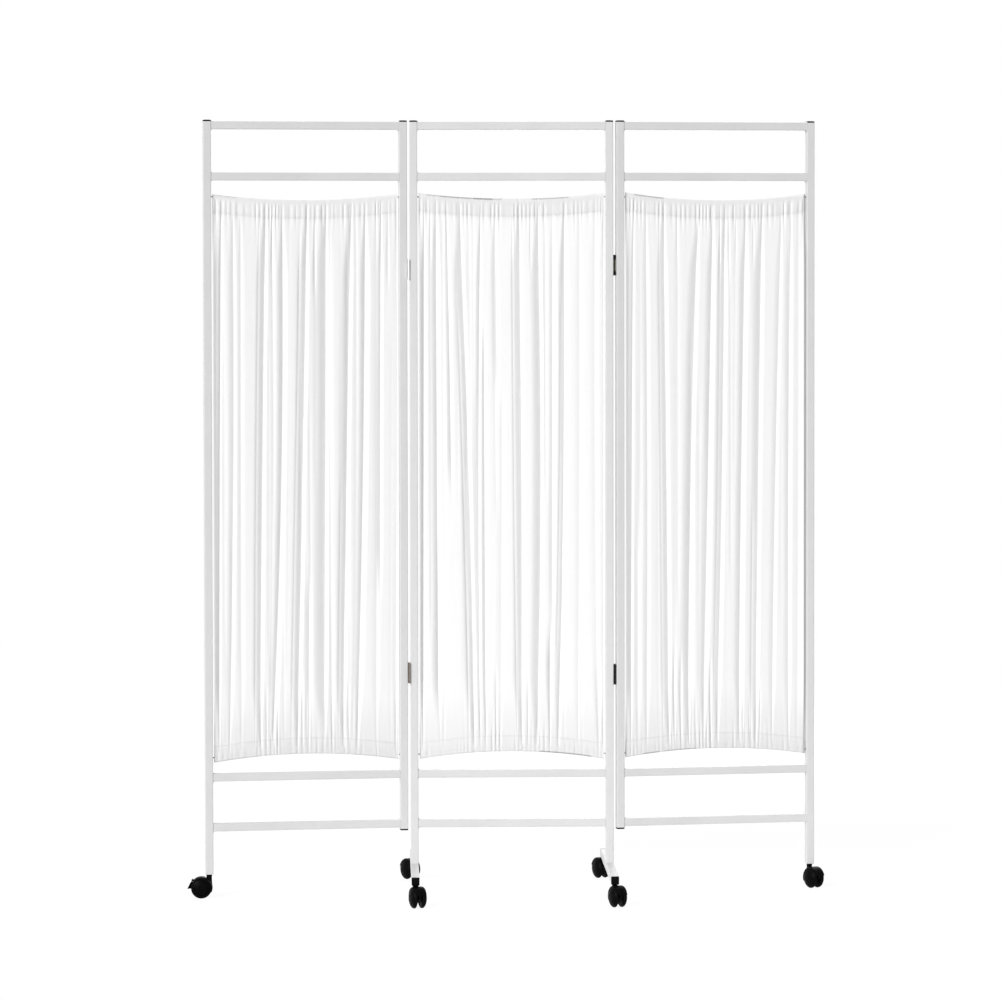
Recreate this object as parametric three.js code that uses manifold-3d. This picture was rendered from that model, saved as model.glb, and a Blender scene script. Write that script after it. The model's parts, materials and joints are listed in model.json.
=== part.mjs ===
import * as THREE from 'three';
import * as BufferGeometryUtils from 'three/addons/utils/BufferGeometryUtils.js';
import Module from 'manifold-3d';

// Ward privacy screen on wheels: three hinged frames of square tube, each with a gathered curtain.
// Lengths are in millimetres and angles in degrees. X runs along the screen, -Y faces the viewer, +Z is up.
// The middle frame stands on two foot bars with two casters each. Each outer frame rolls on one caster.

// Frames
const overall_height = 1890;
const panel_width = 496;
const joint_gap = 5.2;
const tube_size = 19;
const tube_wall = 1.2;
const tube_corner_radius = 1.6;
const weld_gap = 0.3;
const upper_rail_drop = 123.5;
const lower_rail_rise = 121.5;
const bottom_rail_height = 172;
const inner_upright_tail = 13;
const foot_caster_spacing = 465;
const weld_sink_share = 0.5;
const end_plate_thickness = 3;

// End caps of the tubes
const cap_height = 7.5;
const cap_edge_bevel = 1.2;
const cap_shank_length = 7;
const cap_gap = 0.3;

// Hinges: each joint has one above the lower rail and one below the upper rail
const left_hinge_rise = 247.5;
const left_hinge_drop = 224.5;
const right_hinge_rise = 240.5;
const right_hinge_drop = 215.5;
const hinge_length = 50;
const leaf_thickness = 1.2;
const leaf_depth = 15;
const leaf_gap = 0.3;
const knuckle_radius = 3.1;
const pin_radius = 1.5;
const pin_clearance = 0.35;
const knuckle_gap = 0.4;
const knuckle_standoff = 0.5;
const left_rest_turn = 7.2;
const right_rest_turn = 8.6;

// The knuckles of each leaf, as the middles of its shares of the hinge's length
const fixed_knuckle_shares = [-1 / 3, 1 / 3];
const moving_knuckle_shares = [0];

// Curtains and their wires
const top_wire_drop = 48;
const top_wire_sag = 16;
const bottom_wire_lift = 46.5;
const bottom_wire_bow = 17.5;
const wire_radius = 1.5;
const wire_clearance = 0.7;
const ferrule_radius = 3;
const ferrule_length = 4;
const ferrule_gap = 0.3;
const curtain_side_gap = 3.5;
const curtain_edge_margin = 5;
const header_depth = 44;
const hem_depth = 40;
const cloth_half_thickness = 1.6;
const pocket_half_thickness = 4.2;
const edge_half_thickness = 2.4;
const body_fold_depth = 11;
const seam_fold_depth = 5;
const pocket_fold_depth = 1.2;
const wide_fold_width = 60;
const steps_per_fold = 4;
const wire_steps = 10;
const wire_sides = 6;

// Where the main folds of each curtain run, as shares of its width from its left edge
const left_fold_shares = [0.03, 0.10, 0.17, 0.25, 0.30, 0.36, 0.46, 0.58, 0.70, 0.80, 0.89, 0.97];
const middle_fold_shares = [0.09, 0.16, 0.24, 0.33, 0.43, 0.53, 0.59, 0.64, 0.70, 0.78, 0.86, 0.94];
const right_fold_shares = [0.03, 0.12, 0.20, 0.28, 0.36, 0.46, 0.53, 0.59, 0.65, 0.73, 0.85, 0.91];

// Casters
const wheel_diameter = 50;
const wheel_width = 18;
const wheel_shoulder_share = 0.36;
const wheel_shoulder_drop = 5;
const wheel_inner_bevel = 4.5;
const swivel_offset = 19;
const axle_radius = 3;
const axle_clearance = 0.4;
const web_thickness = 6;
const web_side_gap = 0.8;
const web_boss_radius = 12;
const hood_gap = 0.8;
const hood_wall = 2;
const hood_side_inset = 1.4;
const hood_front_angle = -22;
const hood_rear_angle = 165;
const neck_radius = 6;
const outer_neck_extra = 4;
const hood_top_gap = 1.2;
const seat_gap = 0.3;
const stem_radius = 4;
const stem_top_gap = 2.8;
const stem_clearance = 0.4;
const wheel_segments = 16;
const small_segments = 8;
const arc_divisions = 5;

// How far each caster is turned from trailing to the left
const left_outer_turn = 0;
const right_outer_turn = 119;
const left_front_turn = 105;
const left_rear_turn = -60;
const right_front_turn = 108;
const right_rear_turn = -67;

// Brake pedal of the left outer caster
const brake_hinge_angle = 139;
const brake_width = 14;
const brake_barrel_radius = 2.6;
const brake_pin_radius = 1.2;
const brake_ear_radius = 3.2;
const brake_ear_width = 3.4;
const brake_clearance = 0.4;
const brake_plate_wall = 2.2;
const brake_plate_end_angle = 178;
const brake_wheel_gap = 1;
const brake_toe_length = 8;
const brake_toe_drop_angle = 40;
const brake_travel = 9;

// One overrun serves every cut
const cut_overrun = 2;
const merge_tolerance = 1e-5;

const half_tube = tube_size / 2;
const bore_size = tube_size - 2 * tube_wall;
const wheel_radius = wheel_diameter / 2;
const foot_seat_height = wheel_diameter + hood_gap + hood_wall + hood_top_gap;
const outer_seat_height = foot_seat_height + outer_neck_extra;
const foot_top_height = foot_seat_height + tube_size;
const foot_end_reach = cap_shank_length + stem_radius + 2 * stem_clearance;
const foot_length = foot_caster_spacing + 2 * foot_end_reach;
const upright_top_height = overall_height - cap_height;
const inner_upright_end_height = bottom_rail_height - inner_upright_tail;
const top_rail_height = upright_top_height - half_tube;
const upper_rail_height = top_rail_height - upper_rail_drop;
const lower_rail_height = bottom_rail_height + lower_rail_rise;
const upright_reach = panel_width / 2 - half_tube;
const clear_width = panel_width - 2 * tube_size;
const rail_heights = {
  top_rail: top_rail_height,
  upper_rail: upper_rail_height,
  lower_rail: lower_rail_height,
  bottom_rail: bottom_rail_height,
};
const left_hinge_heights = [lower_rail_height + left_hinge_rise, upper_rail_height - left_hinge_drop];
const right_hinge_heights = [lower_rail_height + right_hinge_rise, upper_rail_height - right_hinge_drop];
const hinge_axis_offset = half_tube + knuckle_standoff + knuckle_radius;
const top_wire_height = upper_rail_height - top_wire_drop;
const bottom_wire_height = lower_rail_height + bottom_wire_lift;
const hood_inner_radius = wheel_radius + hood_gap;
const hood_outer_radius = hood_inner_radius + hood_wall;
const hood_middle_radius = hood_inner_radius + hood_wall / 2;
const neck_base_height = wheel_radius + Math.sqrt(hood_middle_radius ** 2 - swivel_offset ** 2);
const stem_length = tube_size - tube_wall - stem_top_gap;
const wheel_inner_face = web_thickness / 2 + web_side_gap;
const wheel_outer_face = wheel_inner_face + wheel_width;
const hood_half_width = wheel_outer_face - hood_side_inset;
const brake_hinge_radius = hood_inner_radius + brake_barrel_radius;
const brake_pin_reach = brake_ear_width - brake_clearance;
const brake_hole_length = brake_width + 2 * (brake_clearance + brake_ear_width) + cut_overrun;
const tunnel_radius = wire_radius + wire_clearance;
const wire_end_reach = clear_width / 2 + tube_wall + ferrule_gap + ferrule_length;

const wasm = await Module();
wasm.setup();

function radians(degrees) {
  return THREE.MathUtils.degToRad(degrees);
}

function finish(color, roughness, metalness) {
  return () => new THREE.MeshStandardMaterial({ color, roughness, metalness });
}

const white_coat = finish(0xdcdde0, 0.42, 0.15);
const black_plastic = finish(0x17181a, 0.5, 0);
const tyre_black = finish(0x101112, 0.62, 0);
const hinge_steel = finish(0x6f6a64, 0.5, 0.8);
const wire_coat = finish(0xa9abae, 0.45, 0.3);
const white_cloth = finish(0xf4f5f7, 0.9, 0);

function solid(geometry) {
  const bare = geometry.clone();
  bare.deleteAttribute('normal');
  bare.deleteAttribute('uv');
  const merged = BufferGeometryUtils.mergeVertices(bare, merge_tolerance);
  const mesh = new wasm.Mesh({
    numProp: 3,
    vertProperties: new Float32Array(merged.attributes.position.array),
    triVerts: new Uint32Array(merged.index.array),
  });
  return new wasm.Manifold(mesh);
}

function geometryOf(manifold) {
  const mesh = manifold.getMesh();
  const geometry = new THREE.BufferGeometry();
  geometry.setAttribute('position', new THREE.BufferAttribute(new Float32Array(mesh.vertProperties), 3));
  geometry.setIndex(new THREE.BufferAttribute(new Uint32Array(mesh.triVerts), 1));
  geometry.computeVertexNormals();
  return geometry;
}

function join(geometries) {
  return geometries.map(solid).reduce((whole, piece) => whole.add(piece));
}

function named(name, geometry, material) {
  const mesh = new THREE.Mesh(geometry, material());
  mesh.name = name;
  return mesh;
}

function roundedSquare(size, radius) {
  const half = size / 2;
  const inner = half - radius;
  const shape = new THREE.Shape();
  shape.moveTo(half, -inner);
  shape.absarc(inner, inner, radius, 0, Math.PI / 2, false);
  shape.absarc(-inner, inner, radius, Math.PI / 2, Math.PI, false);
  shape.absarc(-inner, -inner, radius, Math.PI, Math.PI * 1.5, false);
  shape.absarc(inner, -inner, radius, Math.PI * 1.5, Math.PI * 2, false);
  return shape;
}

function squarePath(size) {
  const half = size / 2;
  const path = new THREE.Path();
  path.moveTo(-half, -half);
  path.lineTo(-half, half);
  path.lineTo(half, half);
  path.lineTo(half, -half);
  path.closePath();
  return path;
}

// A length of square tube, open at both ends, standing on the XY plane
function tubeAlongZ(length) {
  const shape = roundedSquare(tube_size, tube_corner_radius);
  shape.holes.push(squarePath(bore_size));
  return new THREE.ExtrudeGeometry(shape, { depth: length, bevelEnabled: false, curveSegments: 1 });
}

function cylinderAlongX(radius, length, segments) {
  return new THREE.CylinderGeometry(radius, radius, length, segments).rotateZ(Math.PI / 2);
}

function cylinderAlongY(radius, length, segments) {
  return new THREE.CylinderGeometry(radius, radius, length, segments);
}

function cylinderAlongZ(radius, length, segments) {
  return new THREE.CylinderGeometry(radius, radius, length, segments).rotateX(Math.PI / 2);
}

// Height of a wire at a distance from the middle of its frame: it hangs or rises towards the middle
function wireHeight(end_height, dip, distance) {
  const share = distance / wire_end_reach;
  return end_height - dip * (1 - share * share);
}

function topWireHeight(distance) {
  return wireHeight(top_wire_height, top_wire_sag, distance);
}

function bottomWireHeight(distance) {
  return wireHeight(bottom_wire_height, -bottom_wire_bow, distance);
}

class WireCurve extends THREE.Curve {
  constructor(heightAt, reach) {
    super();
    this.heightAt = heightAt;
    this.reach = reach;
  }

  getPoint(share, target = new THREE.Vector3()) {
    const x = this.reach * (2 * share - 1);
    return target.set(x, 0, this.heightAt(x));
  }
}

function wireRod(heightAt, reach, radius) {
  const section = new THREE.Shape();
  for (let side = 0; side < wire_sides; side += 1) {
    const angle = (2 * Math.PI * side) / wire_sides;
    const x = radius * Math.cos(angle);
    const y = radius * Math.sin(angle);
    if (side === 0) section.moveTo(x, y);
    else section.lineTo(x, y);
  }
  section.closePath();
  const path = new WireCurve(heightAt, reach);
  return new THREE.ExtrudeGeometry(section, { steps: wire_steps, extrudePath: path, bevelEnabled: false });
}

// A curtain wire with a crimped ferrule inside the bore of the upright at each end
function wire(name, heightAt) {
  const ferrule_center = wire_end_reach - ferrule_length / 2;
  const ferrules = [-1, 1].map((side) =>
    cylinderAlongX(ferrule_radius, ferrule_length, wire_sides)
      .translate(side * ferrule_center, 0, heightAt(ferrule_center)));
  const rod = wireRod(heightAt, wire_end_reach - ferrule_length / 2, wire_radius);
  return named(name, geometryOf(join([rod, ...ferrules])), wire_coat);
}

// Cuts the holes where the curtain wires enter the wall of an upright that faces the curtain
function cutWireHoles(upright, facing) {
  const wall_center = facing * (half_tube - tube_wall / 2);
  const distance = clear_width / 2 + tube_wall / 2;
  let body = upright;
  for (const heightAt of [topWireHeight, bottomWireHeight]) {
    const hole = cylinderAlongX(tunnel_radius, tube_wall + cut_overrun, wire_sides);
    hole.translate(wall_center, 0, heightAt(distance));
    body = body.subtract(solid(hole));
  }
  return body;
}

// An upright with its plate for the caster stem at the bottom
function outerUpright(name, facing) {
  const length = upright_top_height - outer_seat_height;
  const tube = tubeAlongZ(length).translate(0, 0, outer_seat_height);
  const plate_side = bore_size + tube_wall;
  const plate = new THREE.BoxGeometry(plate_side, plate_side, end_plate_thickness)
    .translate(0, 0, outer_seat_height + end_plate_thickness / 2);
  const stem_hole = cylinderAlongZ(stem_radius + stem_clearance, end_plate_thickness + cut_overrun, small_segments)
    .translate(0, 0, outer_seat_height + end_plate_thickness / 2);
  const body = join([tube, plate]).subtract(solid(stem_hole));
  return named(name, geometryOf(cutWireHoles(body, facing)), white_coat);
}

function innerUpright(name, facing) {
  const length = upright_top_height - inner_upright_end_height;
  const tube = tubeAlongZ(length).translate(0, 0, inner_upright_end_height);
  return named(name, geometryOf(cutWireHoles(solid(tube), facing)), white_coat);
}

// An upright of the middle frame, welded onto its foot bar, which runs from front to back
function footedUpright(name, facing) {
  const weld_sink = tube_wall * weld_sink_share;
  const length = upright_top_height - foot_top_height + weld_sink;
  const tube = tubeAlongZ(length).translate(0, 0, foot_top_height - weld_sink);
  const foot = tubeAlongZ(foot_length).rotateX(Math.PI / 2)
    .translate(0, foot_length / 2, foot_seat_height + half_tube);
  let body = cutWireHoles(join([tube, foot]), facing);
  for (const side of [-1, 1]) {
    const hole = cylinderAlongZ(stem_radius + stem_clearance, tube_wall + cut_overrun, small_segments);
    hole.translate(0, (side * foot_caster_spacing) / 2, foot_seat_height + tube_wall / 2);
    body = body.subtract(solid(hole));
  }
  return named(name, geometryOf(body), white_coat);
}

function rail(name, height) {
  const length = clear_width - 2 * weld_gap;
  const geometry = tubeAlongZ(length).rotateY(Math.PI / 2).translate(-length / 2, 0, height);
  return named(name, geometry, white_coat);
}

// A push-in tube cap: a bevelled head with a square shank, pointing up from the XY plane
function cap(name) {
  const head_height = cap_height - cap_gap - 2 * cap_edge_bevel;
  const head_shape = new THREE.Shape(squarePath(tube_size - 2 * cap_edge_bevel).getPoints());
  const head = new THREE.ExtrudeGeometry(head_shape, {
    depth: head_height,
    bevelThickness: cap_edge_bevel,
    bevelSize: cap_edge_bevel,
    bevelSegments: 1,
  }).translate(0, 0, cap_gap + cap_edge_bevel);
  const shank_side = bore_size - 2 * cap_gap;
  const shank_height = cap_shank_length + cap_gap + cap_edge_bevel;
  const shank = new THREE.BoxGeometry(shank_side, shank_side, shank_height)
    .translate(0, 0, shank_height / 2 - cap_shank_length);
  return named(name, geometryOf(join([head, shank])), black_plastic);
}

// Places a cap at a point, its head facing along a direction
function placedCap(name, x, y, z, direction) {
  const mesh = cap(name);
  mesh.position.set(x, y, z);
  mesh.quaternion.setFromUnitVectors(new THREE.Vector3(0, 0, 1), direction);
  return mesh;
}

// Share of the way through the folds at a share of the curtain's width: whole numbers are valleys
function foldPhase(shares, column) {
  const bounds = [0, ...shares, 1];
  const fold = Math.min(Math.floor(column / steps_per_fold), bounds.length - 2);
  const within = column / steps_per_fold - fold;
  const width_share = bounds[fold + 1] - bounds[fold];
  return { share: bounds[fold] + within * width_share, within, width_share };
}

// Rows of a curtain from its bottom edge to its top edge, at one place along its width
function curtainRows(x) {
  const bottom = bottomWireHeight(x) - curtain_edge_margin;
  const top = topWireHeight(x) + curtain_edge_margin;
  const hem_top = bottom + hem_depth;
  const header_bottom = top - header_depth;
  const body = (share) => hem_top + share * (header_bottom - hem_top);
  return [
    { height: bottom, half: edge_half_thickness, fold: pocket_fold_depth },
    { height: bottom + curtain_edge_margin, half: pocket_half_thickness, fold: pocket_fold_depth },
    { height: hem_top, half: cloth_half_thickness, fold: seam_fold_depth },
    { height: body(1 / 3), half: cloth_half_thickness, fold: body_fold_depth },
    { height: body(2 / 3), half: cloth_half_thickness, fold: body_fold_depth },
    { height: header_bottom, half: cloth_half_thickness, fold: seam_fold_depth },
    { height: top - curtain_edge_margin, half: pocket_half_thickness, fold: pocket_fold_depth },
    { height: top, half: edge_half_thickness, fold: pocket_fold_depth },
  ];
}

// A gathered curtain as one folded slab with a pocket for the wire along its top and its bottom
function curtain(name, fold_shares) {
  const columns = steps_per_fold * (fold_shares.length + 1);
  const row_count = curtainRows(0).length - 1;
  const half_width = clear_width / 2 - curtain_side_gap;
  const slab = new THREE.BoxGeometry(1, 1, 1, columns, row_count, 1);
  const position = slab.attributes.position;
  for (let index = 0; index < position.count; index += 1) {
    const column = Math.round((position.getX(index) + 0.5) * columns);
    const row = Math.round((position.getY(index) + 0.5) * row_count);
    const side = Math.sign(position.getZ(index));
    const { share, within, width_share } = foldPhase(fold_shares, column);
    const x = half_width * (2 * share - 1);
    const { height, half, fold } = curtainRows(x)[row];
    const fold_width = width_share * 2 * half_width;
    const relief = fold * Math.min(1, Math.sqrt(fold_width / wide_fold_width));
    const depth = relief * Math.cos(2 * Math.PI * within);
    position.setXYZ(index, x, depth - side * half, height);
  }
  const reach = half_width + cut_overrun;
  const body = [topWireHeight, bottomWireHeight].reduce(
    (cloth, heightAt) => cloth.subtract(solid(wireRod(heightAt, reach, tunnel_radius))),
    solid(slab),
  );
  return named(name, geometryOf(body), white_cloth);
}

function knuckleLength() {
  return hinge_length / 3 - knuckle_gap;
}

// A hinge leaf beside the upright on the side given by side, its knuckles around the Z axis
function hingeLeaf(knuckle_shares, side) {
  const plate_inner = joint_gap / 2 - leaf_gap - leaf_thickness;
  const plate_x = side * (plate_inner + leaf_thickness / 2);
  const plate_start = knuckle_radius + knuckle_gap;
  const plate = new THREE.BoxGeometry(leaf_thickness, leaf_depth, hinge_length)
    .translate(plate_x, plate_start + leaf_depth / 2, 0);
  const pieces = [plate];
  for (const share of knuckle_shares) {
    const height = share * hinge_length;
    const arm_depth = plate_start + leaf_thickness;
    pieces.push(new THREE.BoxGeometry(leaf_thickness, arm_depth, knuckleLength())
      .translate(plate_x, arm_depth / 2, height));
    pieces.push(cylinderAlongZ(knuckle_radius, knuckleLength(), small_segments).translate(0, 0, height));
  }
  return join(pieces);
}

function fixedLeaf(side) {
  const pin = cylinderAlongZ(pin_radius, hinge_length - 2 * knuckle_gap, small_segments);
  return hingeLeaf(fixed_knuckle_shares, side).add(solid(pin));
}

function movingLeaf(side) {
  const bore = cylinderAlongZ(pin_radius + pin_clearance, hinge_length + cut_overrun, small_segments);
  return hingeLeaf(moving_knuckle_shares, side).subtract(solid(bore));
}

// Adds the leaves of one joint: frame carries the pin, turning carries the other leaf.
// A leaf of the left joint points back from its pin, and one of the right joint points forward.
function addHinges(frame, turning, side_name, heights, pivot, side) {
  const labels = ['lower', 'upper'];
  heights.forEach((height, index) => {
    const fixed_name = `${side_name}_${labels[index]}_hinge_fixed_leaf`;
    const fixed = named(fixed_name, geometryOf(fixedLeaf(1)), hinge_steel);
    const moving_name = `${side_name}_${labels[index]}_hinge_moving_leaf`;
    const moving = named(moving_name, geometryOf(movingLeaf(-1)), hinge_steel);
    const turn = side < 0 ? 0 : Math.PI;
    fixed.rotation.z = turn;
    fixed.position.set(pivot.x, pivot.y, height);
    moving.rotation.z = turn;
    moving.position.set(0, 0, height);
    frame.add(fixed);
    turning.add(moving);
  });
}

function sideOutline(inner_radius, outer_radius, start_angle, end_angle) {
  const start = radians(start_angle);
  const end = radians(end_angle);
  const shape = new THREE.Shape();
  shape.absarc(0, 0, outer_radius, start, end, false);
  shape.absarc(0, 0, inner_radius, end, start, true);
  shape.closePath();
  return shape;
}

// Extrudes a side outline, drawn in X and Z around the wheel's centre, to a width across Y
function acrossWheel(shape, width) {
  return new THREE.ExtrudeGeometry(shape, { depth: width, bevelEnabled: false, curveSegments: arc_divisions })
    .rotateX(Math.PI / 2)
    .translate(-swivel_offset, width / 2, wheel_radius);
}

function webOutline(rear_angle) {
  const shape = new THREE.Shape();
  shape.absarc(0, 0, hood_middle_radius, radians(hood_front_angle), radians(rear_angle), false);
  shape.closePath();
  return shape;
}

// The caster's body: a web between the wheels, a hood over them, and a neck with the swivel stem
function casterBody(seat_height, rear_angle) {
  const hood_shape = sideOutline(hood_inner_radius, hood_outer_radius, hood_front_angle, rear_angle);
  const hood = acrossWheel(hood_shape, 2 * hood_half_width);
  const web = acrossWheel(webOutline(rear_angle), web_thickness);
  const boss = cylinderAlongY(web_boss_radius, web_thickness, small_segments)
    .translate(-swivel_offset, 0, wheel_radius);
  const neck_top = seat_height - seat_gap;
  const neck_length = neck_top - neck_base_height;
  const neck = cylinderAlongZ(neck_radius, neck_length, small_segments)
    .translate(0, 0, neck_base_height + neck_length / 2);
  const stem_top = seat_height + stem_length;
  const stem = cylinderAlongZ(stem_radius, stem_top - neck_base_height, small_segments)
    .translate(0, 0, (stem_top + neck_base_height) / 2);
  const wheels_room = wheelsRoom();
  const axle_hole = cylinderAlongY(axle_radius + axle_clearance, web_thickness + cut_overrun, small_segments)
    .translate(-swivel_offset, 0, wheel_radius);
  return join([hood, web, boss])
    .add(solid(neck).subtract(wheels_room))
    .add(solid(stem).subtract(wheels_room))
    .subtract(solid(axle_hole));
}

// The space that the two wheels turn in, on either side of the web
function wheelsRoom() {
  const room_width = wheel_outer_face - web_thickness / 2;
  const rooms = [-1, 1].map((side) =>
    cylinderAlongY(hood_inner_radius, room_width, wheel_segments)
      .translate(-swivel_offset, side * (web_thickness / 2 + room_width / 2), wheel_radius));
  return join(rooms);
}

// Two wheels and the axle that joins them
function wheelPair(name) {
  const shoulder = wheel_outer_face - wheel_width * wheel_shoulder_share;
  const half_profile = [
    [0, wheel_outer_face],
    [wheel_radius - wheel_shoulder_drop, wheel_outer_face],
    [wheel_radius, shoulder],
    [wheel_radius, wheel_inner_face + wheel_inner_bevel],
    [wheel_radius - wheel_inner_bevel, wheel_inner_face],
    [axle_radius, wheel_inner_face],
  ];
  const left = half_profile.map(([radius, reach]) => new THREE.Vector2(radius, -reach));
  const right = half_profile.map(([radius, reach]) => new THREE.Vector2(radius, reach)).reverse();
  const geometry = new THREE.LatheGeometry([...left, ...right], wheel_segments)
    .translate(-swivel_offset, 0, wheel_radius);
  return named(name, geometry, tyre_black);
}

function brakeHinge() {
  const angle = radians(brake_hinge_angle);
  return new THREE.Vector2(brake_hinge_radius * Math.cos(angle), brake_hinge_radius * Math.sin(angle));
}

// The braked caster's body has two ears on the hood that hold the pedal's pin
function brakedCasterBody(seat_height) {
  const hinge = brakeHinge();
  const hinge_x = hinge.x - swivel_offset;
  const hinge_z = hinge.y + wheel_radius;
  const ear_center = brake_width / 2 + brake_clearance + brake_ear_width / 2;
  const ears = [-1, 1].map((side) =>
    cylinderAlongY(brake_ear_radius, brake_ear_width, small_segments)
      .translate(hinge_x, side * ear_center, hinge_z));
  const pedal_room = cylinderAlongY(
    brake_barrel_radius + brake_clearance, brake_width + 2 * brake_clearance, small_segments,
  ).translate(hinge_x, 0, hinge_z);
  const pin_hole = cylinderAlongY(
    brake_pin_radius + brake_clearance, brake_hole_length, small_segments,
  ).translate(hinge_x, 0, hinge_z);
  return join(ears)
    .subtract(wheelsRoom())
    .add(casterBody(seat_height, brake_hinge_angle))
    .subtract(solid(pedal_room))
    .subtract(solid(pin_hole));
}

// The brake pedal, drawn pressed against the wheels and then lifted about its pin to its rest
function brakePedal(name) {
  const hinge = brakeHinge();
  const inner = wheel_radius + brake_wheel_gap;
  const outer = inner + brake_plate_wall;
  const plate_shape = sideOutline(inner, outer, brake_hinge_angle, brake_plate_end_angle);
  const plate = acrossWheel(plate_shape, brake_width);
  const toe = new THREE.BoxGeometry(brake_toe_length, brake_width, brake_plate_wall)
    .rotateY(radians(-brake_toe_drop_angle))
    .translate(
      -swivel_offset - outer - brake_toe_length / 2 + brake_plate_wall,
      0,
      wheel_radius - brake_toe_length / 2 + brake_plate_wall,
    );
  const barrel = cylinderAlongY(brake_barrel_radius, brake_width, small_segments)
    .translate(hinge.x - swivel_offset, 0, hinge.y + wheel_radius);
  const pin_length = brake_width + 2 * (brake_clearance + brake_pin_reach);
  const pin = cylinderAlongY(brake_pin_radius, pin_length, small_segments)
    .translate(hinge.x - swivel_offset, 0, hinge.y + wheel_radius);
  const geometry = geometryOf(join([plate, toe, barrel, pin]));
  geometry.translate(swivel_offset - hinge.x, 0, -hinge.y - wheel_radius);
  const pedal = named(name, geometry, black_plastic);
  pedal.rotation.y = radians(brake_travel);
  pedal.position.set(hinge.x - swivel_offset, 0, hinge.y + wheel_radius);
  return pedal;
}

// A caster whose stem stands at a point of its frame, turned about the stem
function addCaster(frame, prefix, x, y, seat_height, turn, braked) {
  const caster = new THREE.Group();
  caster.name = `${prefix}_caster`;
  const body = braked ? brakedCasterBody(seat_height) : casterBody(seat_height, hood_rear_angle);
  caster.add(named(`${prefix}_caster_body`, geometryOf(body), black_plastic));
  caster.add(wheelPair(`${prefix}_caster_wheels`));
  if (braked) caster.add(brakePedal(`${prefix}_caster_brake_pedal`));
  caster.position.set(x, y, 0);
  caster.rotation.z = radians(turn);
  frame.add(caster);
}

function addRails(frame, prefix, center_x, center_y) {
  for (const [label, height] of Object.entries(rail_heights)) {
    const piece = rail(`${prefix}_${label}`, height);
    piece.position.set(center_x, center_y, 0);
    frame.add(piece);
  }
}

function addCurtain(frame, prefix, fold_shares, center_x, center_y) {
  const pieces = [
    curtain(`${prefix}_curtain`, fold_shares),
    wire(`${prefix}_top_wire`, topWireHeight),
    wire(`${prefix}_bottom_wire`, bottomWireHeight),
  ];
  for (const piece of pieces) {
    piece.position.set(center_x, center_y, 0);
    frame.add(piece);
  }
}

function middlePanel() {
  const up = new THREE.Vector3(0, 0, 1);
  const frame = new THREE.Group();
  for (const [label, side, front_turn, rear_turn] of [
    ['left', -1, left_front_turn, left_rear_turn],
    ['right', 1, right_front_turn, right_rear_turn],
  ]) {
    const x = side * upright_reach;
    const upright = footedUpright(`middle_${label}_upright_and_foot`, -side);
    upright.position.x = x;
    frame.add(upright);
    frame.add(placedCap(`middle_${label}_top_cap`, x, 0, upright_top_height, up));
    for (const [end, way, turn] of [['front', -1, front_turn], ['rear', 1, rear_turn]]) {
      const axis = new THREE.Vector3(0, way, 0);
      const foot_end = (way * foot_length) / 2;
      const cap_name = `${label}_foot_${end}_cap`;
      frame.add(placedCap(cap_name, x, foot_end, foot_seat_height + half_tube, axis));
      const caster_y = (way * foot_caster_spacing) / 2;
      addCaster(frame, `${label}_foot_${end}`, x, caster_y, foot_seat_height, turn, false);
    }
  }
  addRails(frame, 'middle', 0, 0);
  addCurtain(frame, 'middle', middle_fold_shares, 0, 0);
  return frame;
}

// An outer frame, built around its hinge pin, which lies beside its inner upright.
// side is -1 for the left frame, whose pin is at the front, and 1 for the right one, whose pin is behind.
function outerPanel(label, side, fold_shares, rest_turn, caster_turn) {
  const up = new THREE.Vector3(0, 0, 1);
  const down = new THREE.Vector3(0, 0, -1);
  const frame = new THREE.Group();
  frame.name = `${label}_panel`;
  const plane_y = -side * hinge_axis_offset;
  const inner_x = side * (joint_gap / 2 + half_tube);
  const outer_x = side * (joint_gap / 2 + panel_width - half_tube);
  const center_x = side * (joint_gap / 2 + panel_width / 2);
  const outer = outerUpright(`${label}_outer_upright`, -side);
  outer.position.set(outer_x, plane_y, 0);
  const inner = innerUpright(`${label}_inner_upright`, side);
  inner.position.set(inner_x, plane_y, 0);
  frame.add(outer, inner);
  frame.add(placedCap(`${label}_outer_top_cap`, outer_x, plane_y, upright_top_height, up));
  frame.add(placedCap(`${label}_inner_top_cap`, inner_x, plane_y, upright_top_height, up));
  frame.add(placedCap(`${label}_inner_bottom_cap`, inner_x, plane_y, inner_upright_end_height, down));
  addRails(frame, label, center_x, plane_y);
  addCurtain(frame, label, fold_shares, center_x, plane_y);
  const braked = side < 0;
  addCaster(frame, `${label}_outer`, outer_x, plane_y, outer_seat_height, caster_turn - rest_turn, braked);
  return frame;
}

function screen() {
  const whole = new THREE.Group();
  const middle = middlePanel();
  const pivot_reach = panel_width / 2 + joint_gap / 2;
  const left_pivot = new THREE.Vector2(-pivot_reach, -hinge_axis_offset);
  const right_pivot = new THREE.Vector2(pivot_reach, hinge_axis_offset);
  const left = outerPanel('left', -1, left_fold_shares, left_rest_turn, left_outer_turn);
  const right = outerPanel('right', 1, right_fold_shares, right_rest_turn, right_outer_turn);
  addHinges(middle, left, 'left', left_hinge_heights, left_pivot, -1);
  addHinges(middle, right, 'right', right_hinge_heights, right_pivot, 1);
  left.position.set(left_pivot.x, left_pivot.y, 0);
  left.rotation.z = radians(left_rest_turn);
  right.position.set(right_pivot.x, right_pivot.y, 0);
  right.rotation.z = radians(right_rest_turn);
  whole.add(middle, left, right);
  return whole;
}

// The origin is the middle of the whole screen's box, on the floor
function centered(whole) {
  whole.updateMatrixWorld(true);
  const box = new THREE.Box3().setFromObject(whole, true);
  const center = box.getCenter(new THREE.Vector3());
  whole.position.set(-center.x, -center.y, -box.min.z);
  const part = new THREE.Group();
  part.add(whole);
  part.updateMatrixWorld(true);
  return part;
}

export default centered(screen());
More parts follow.
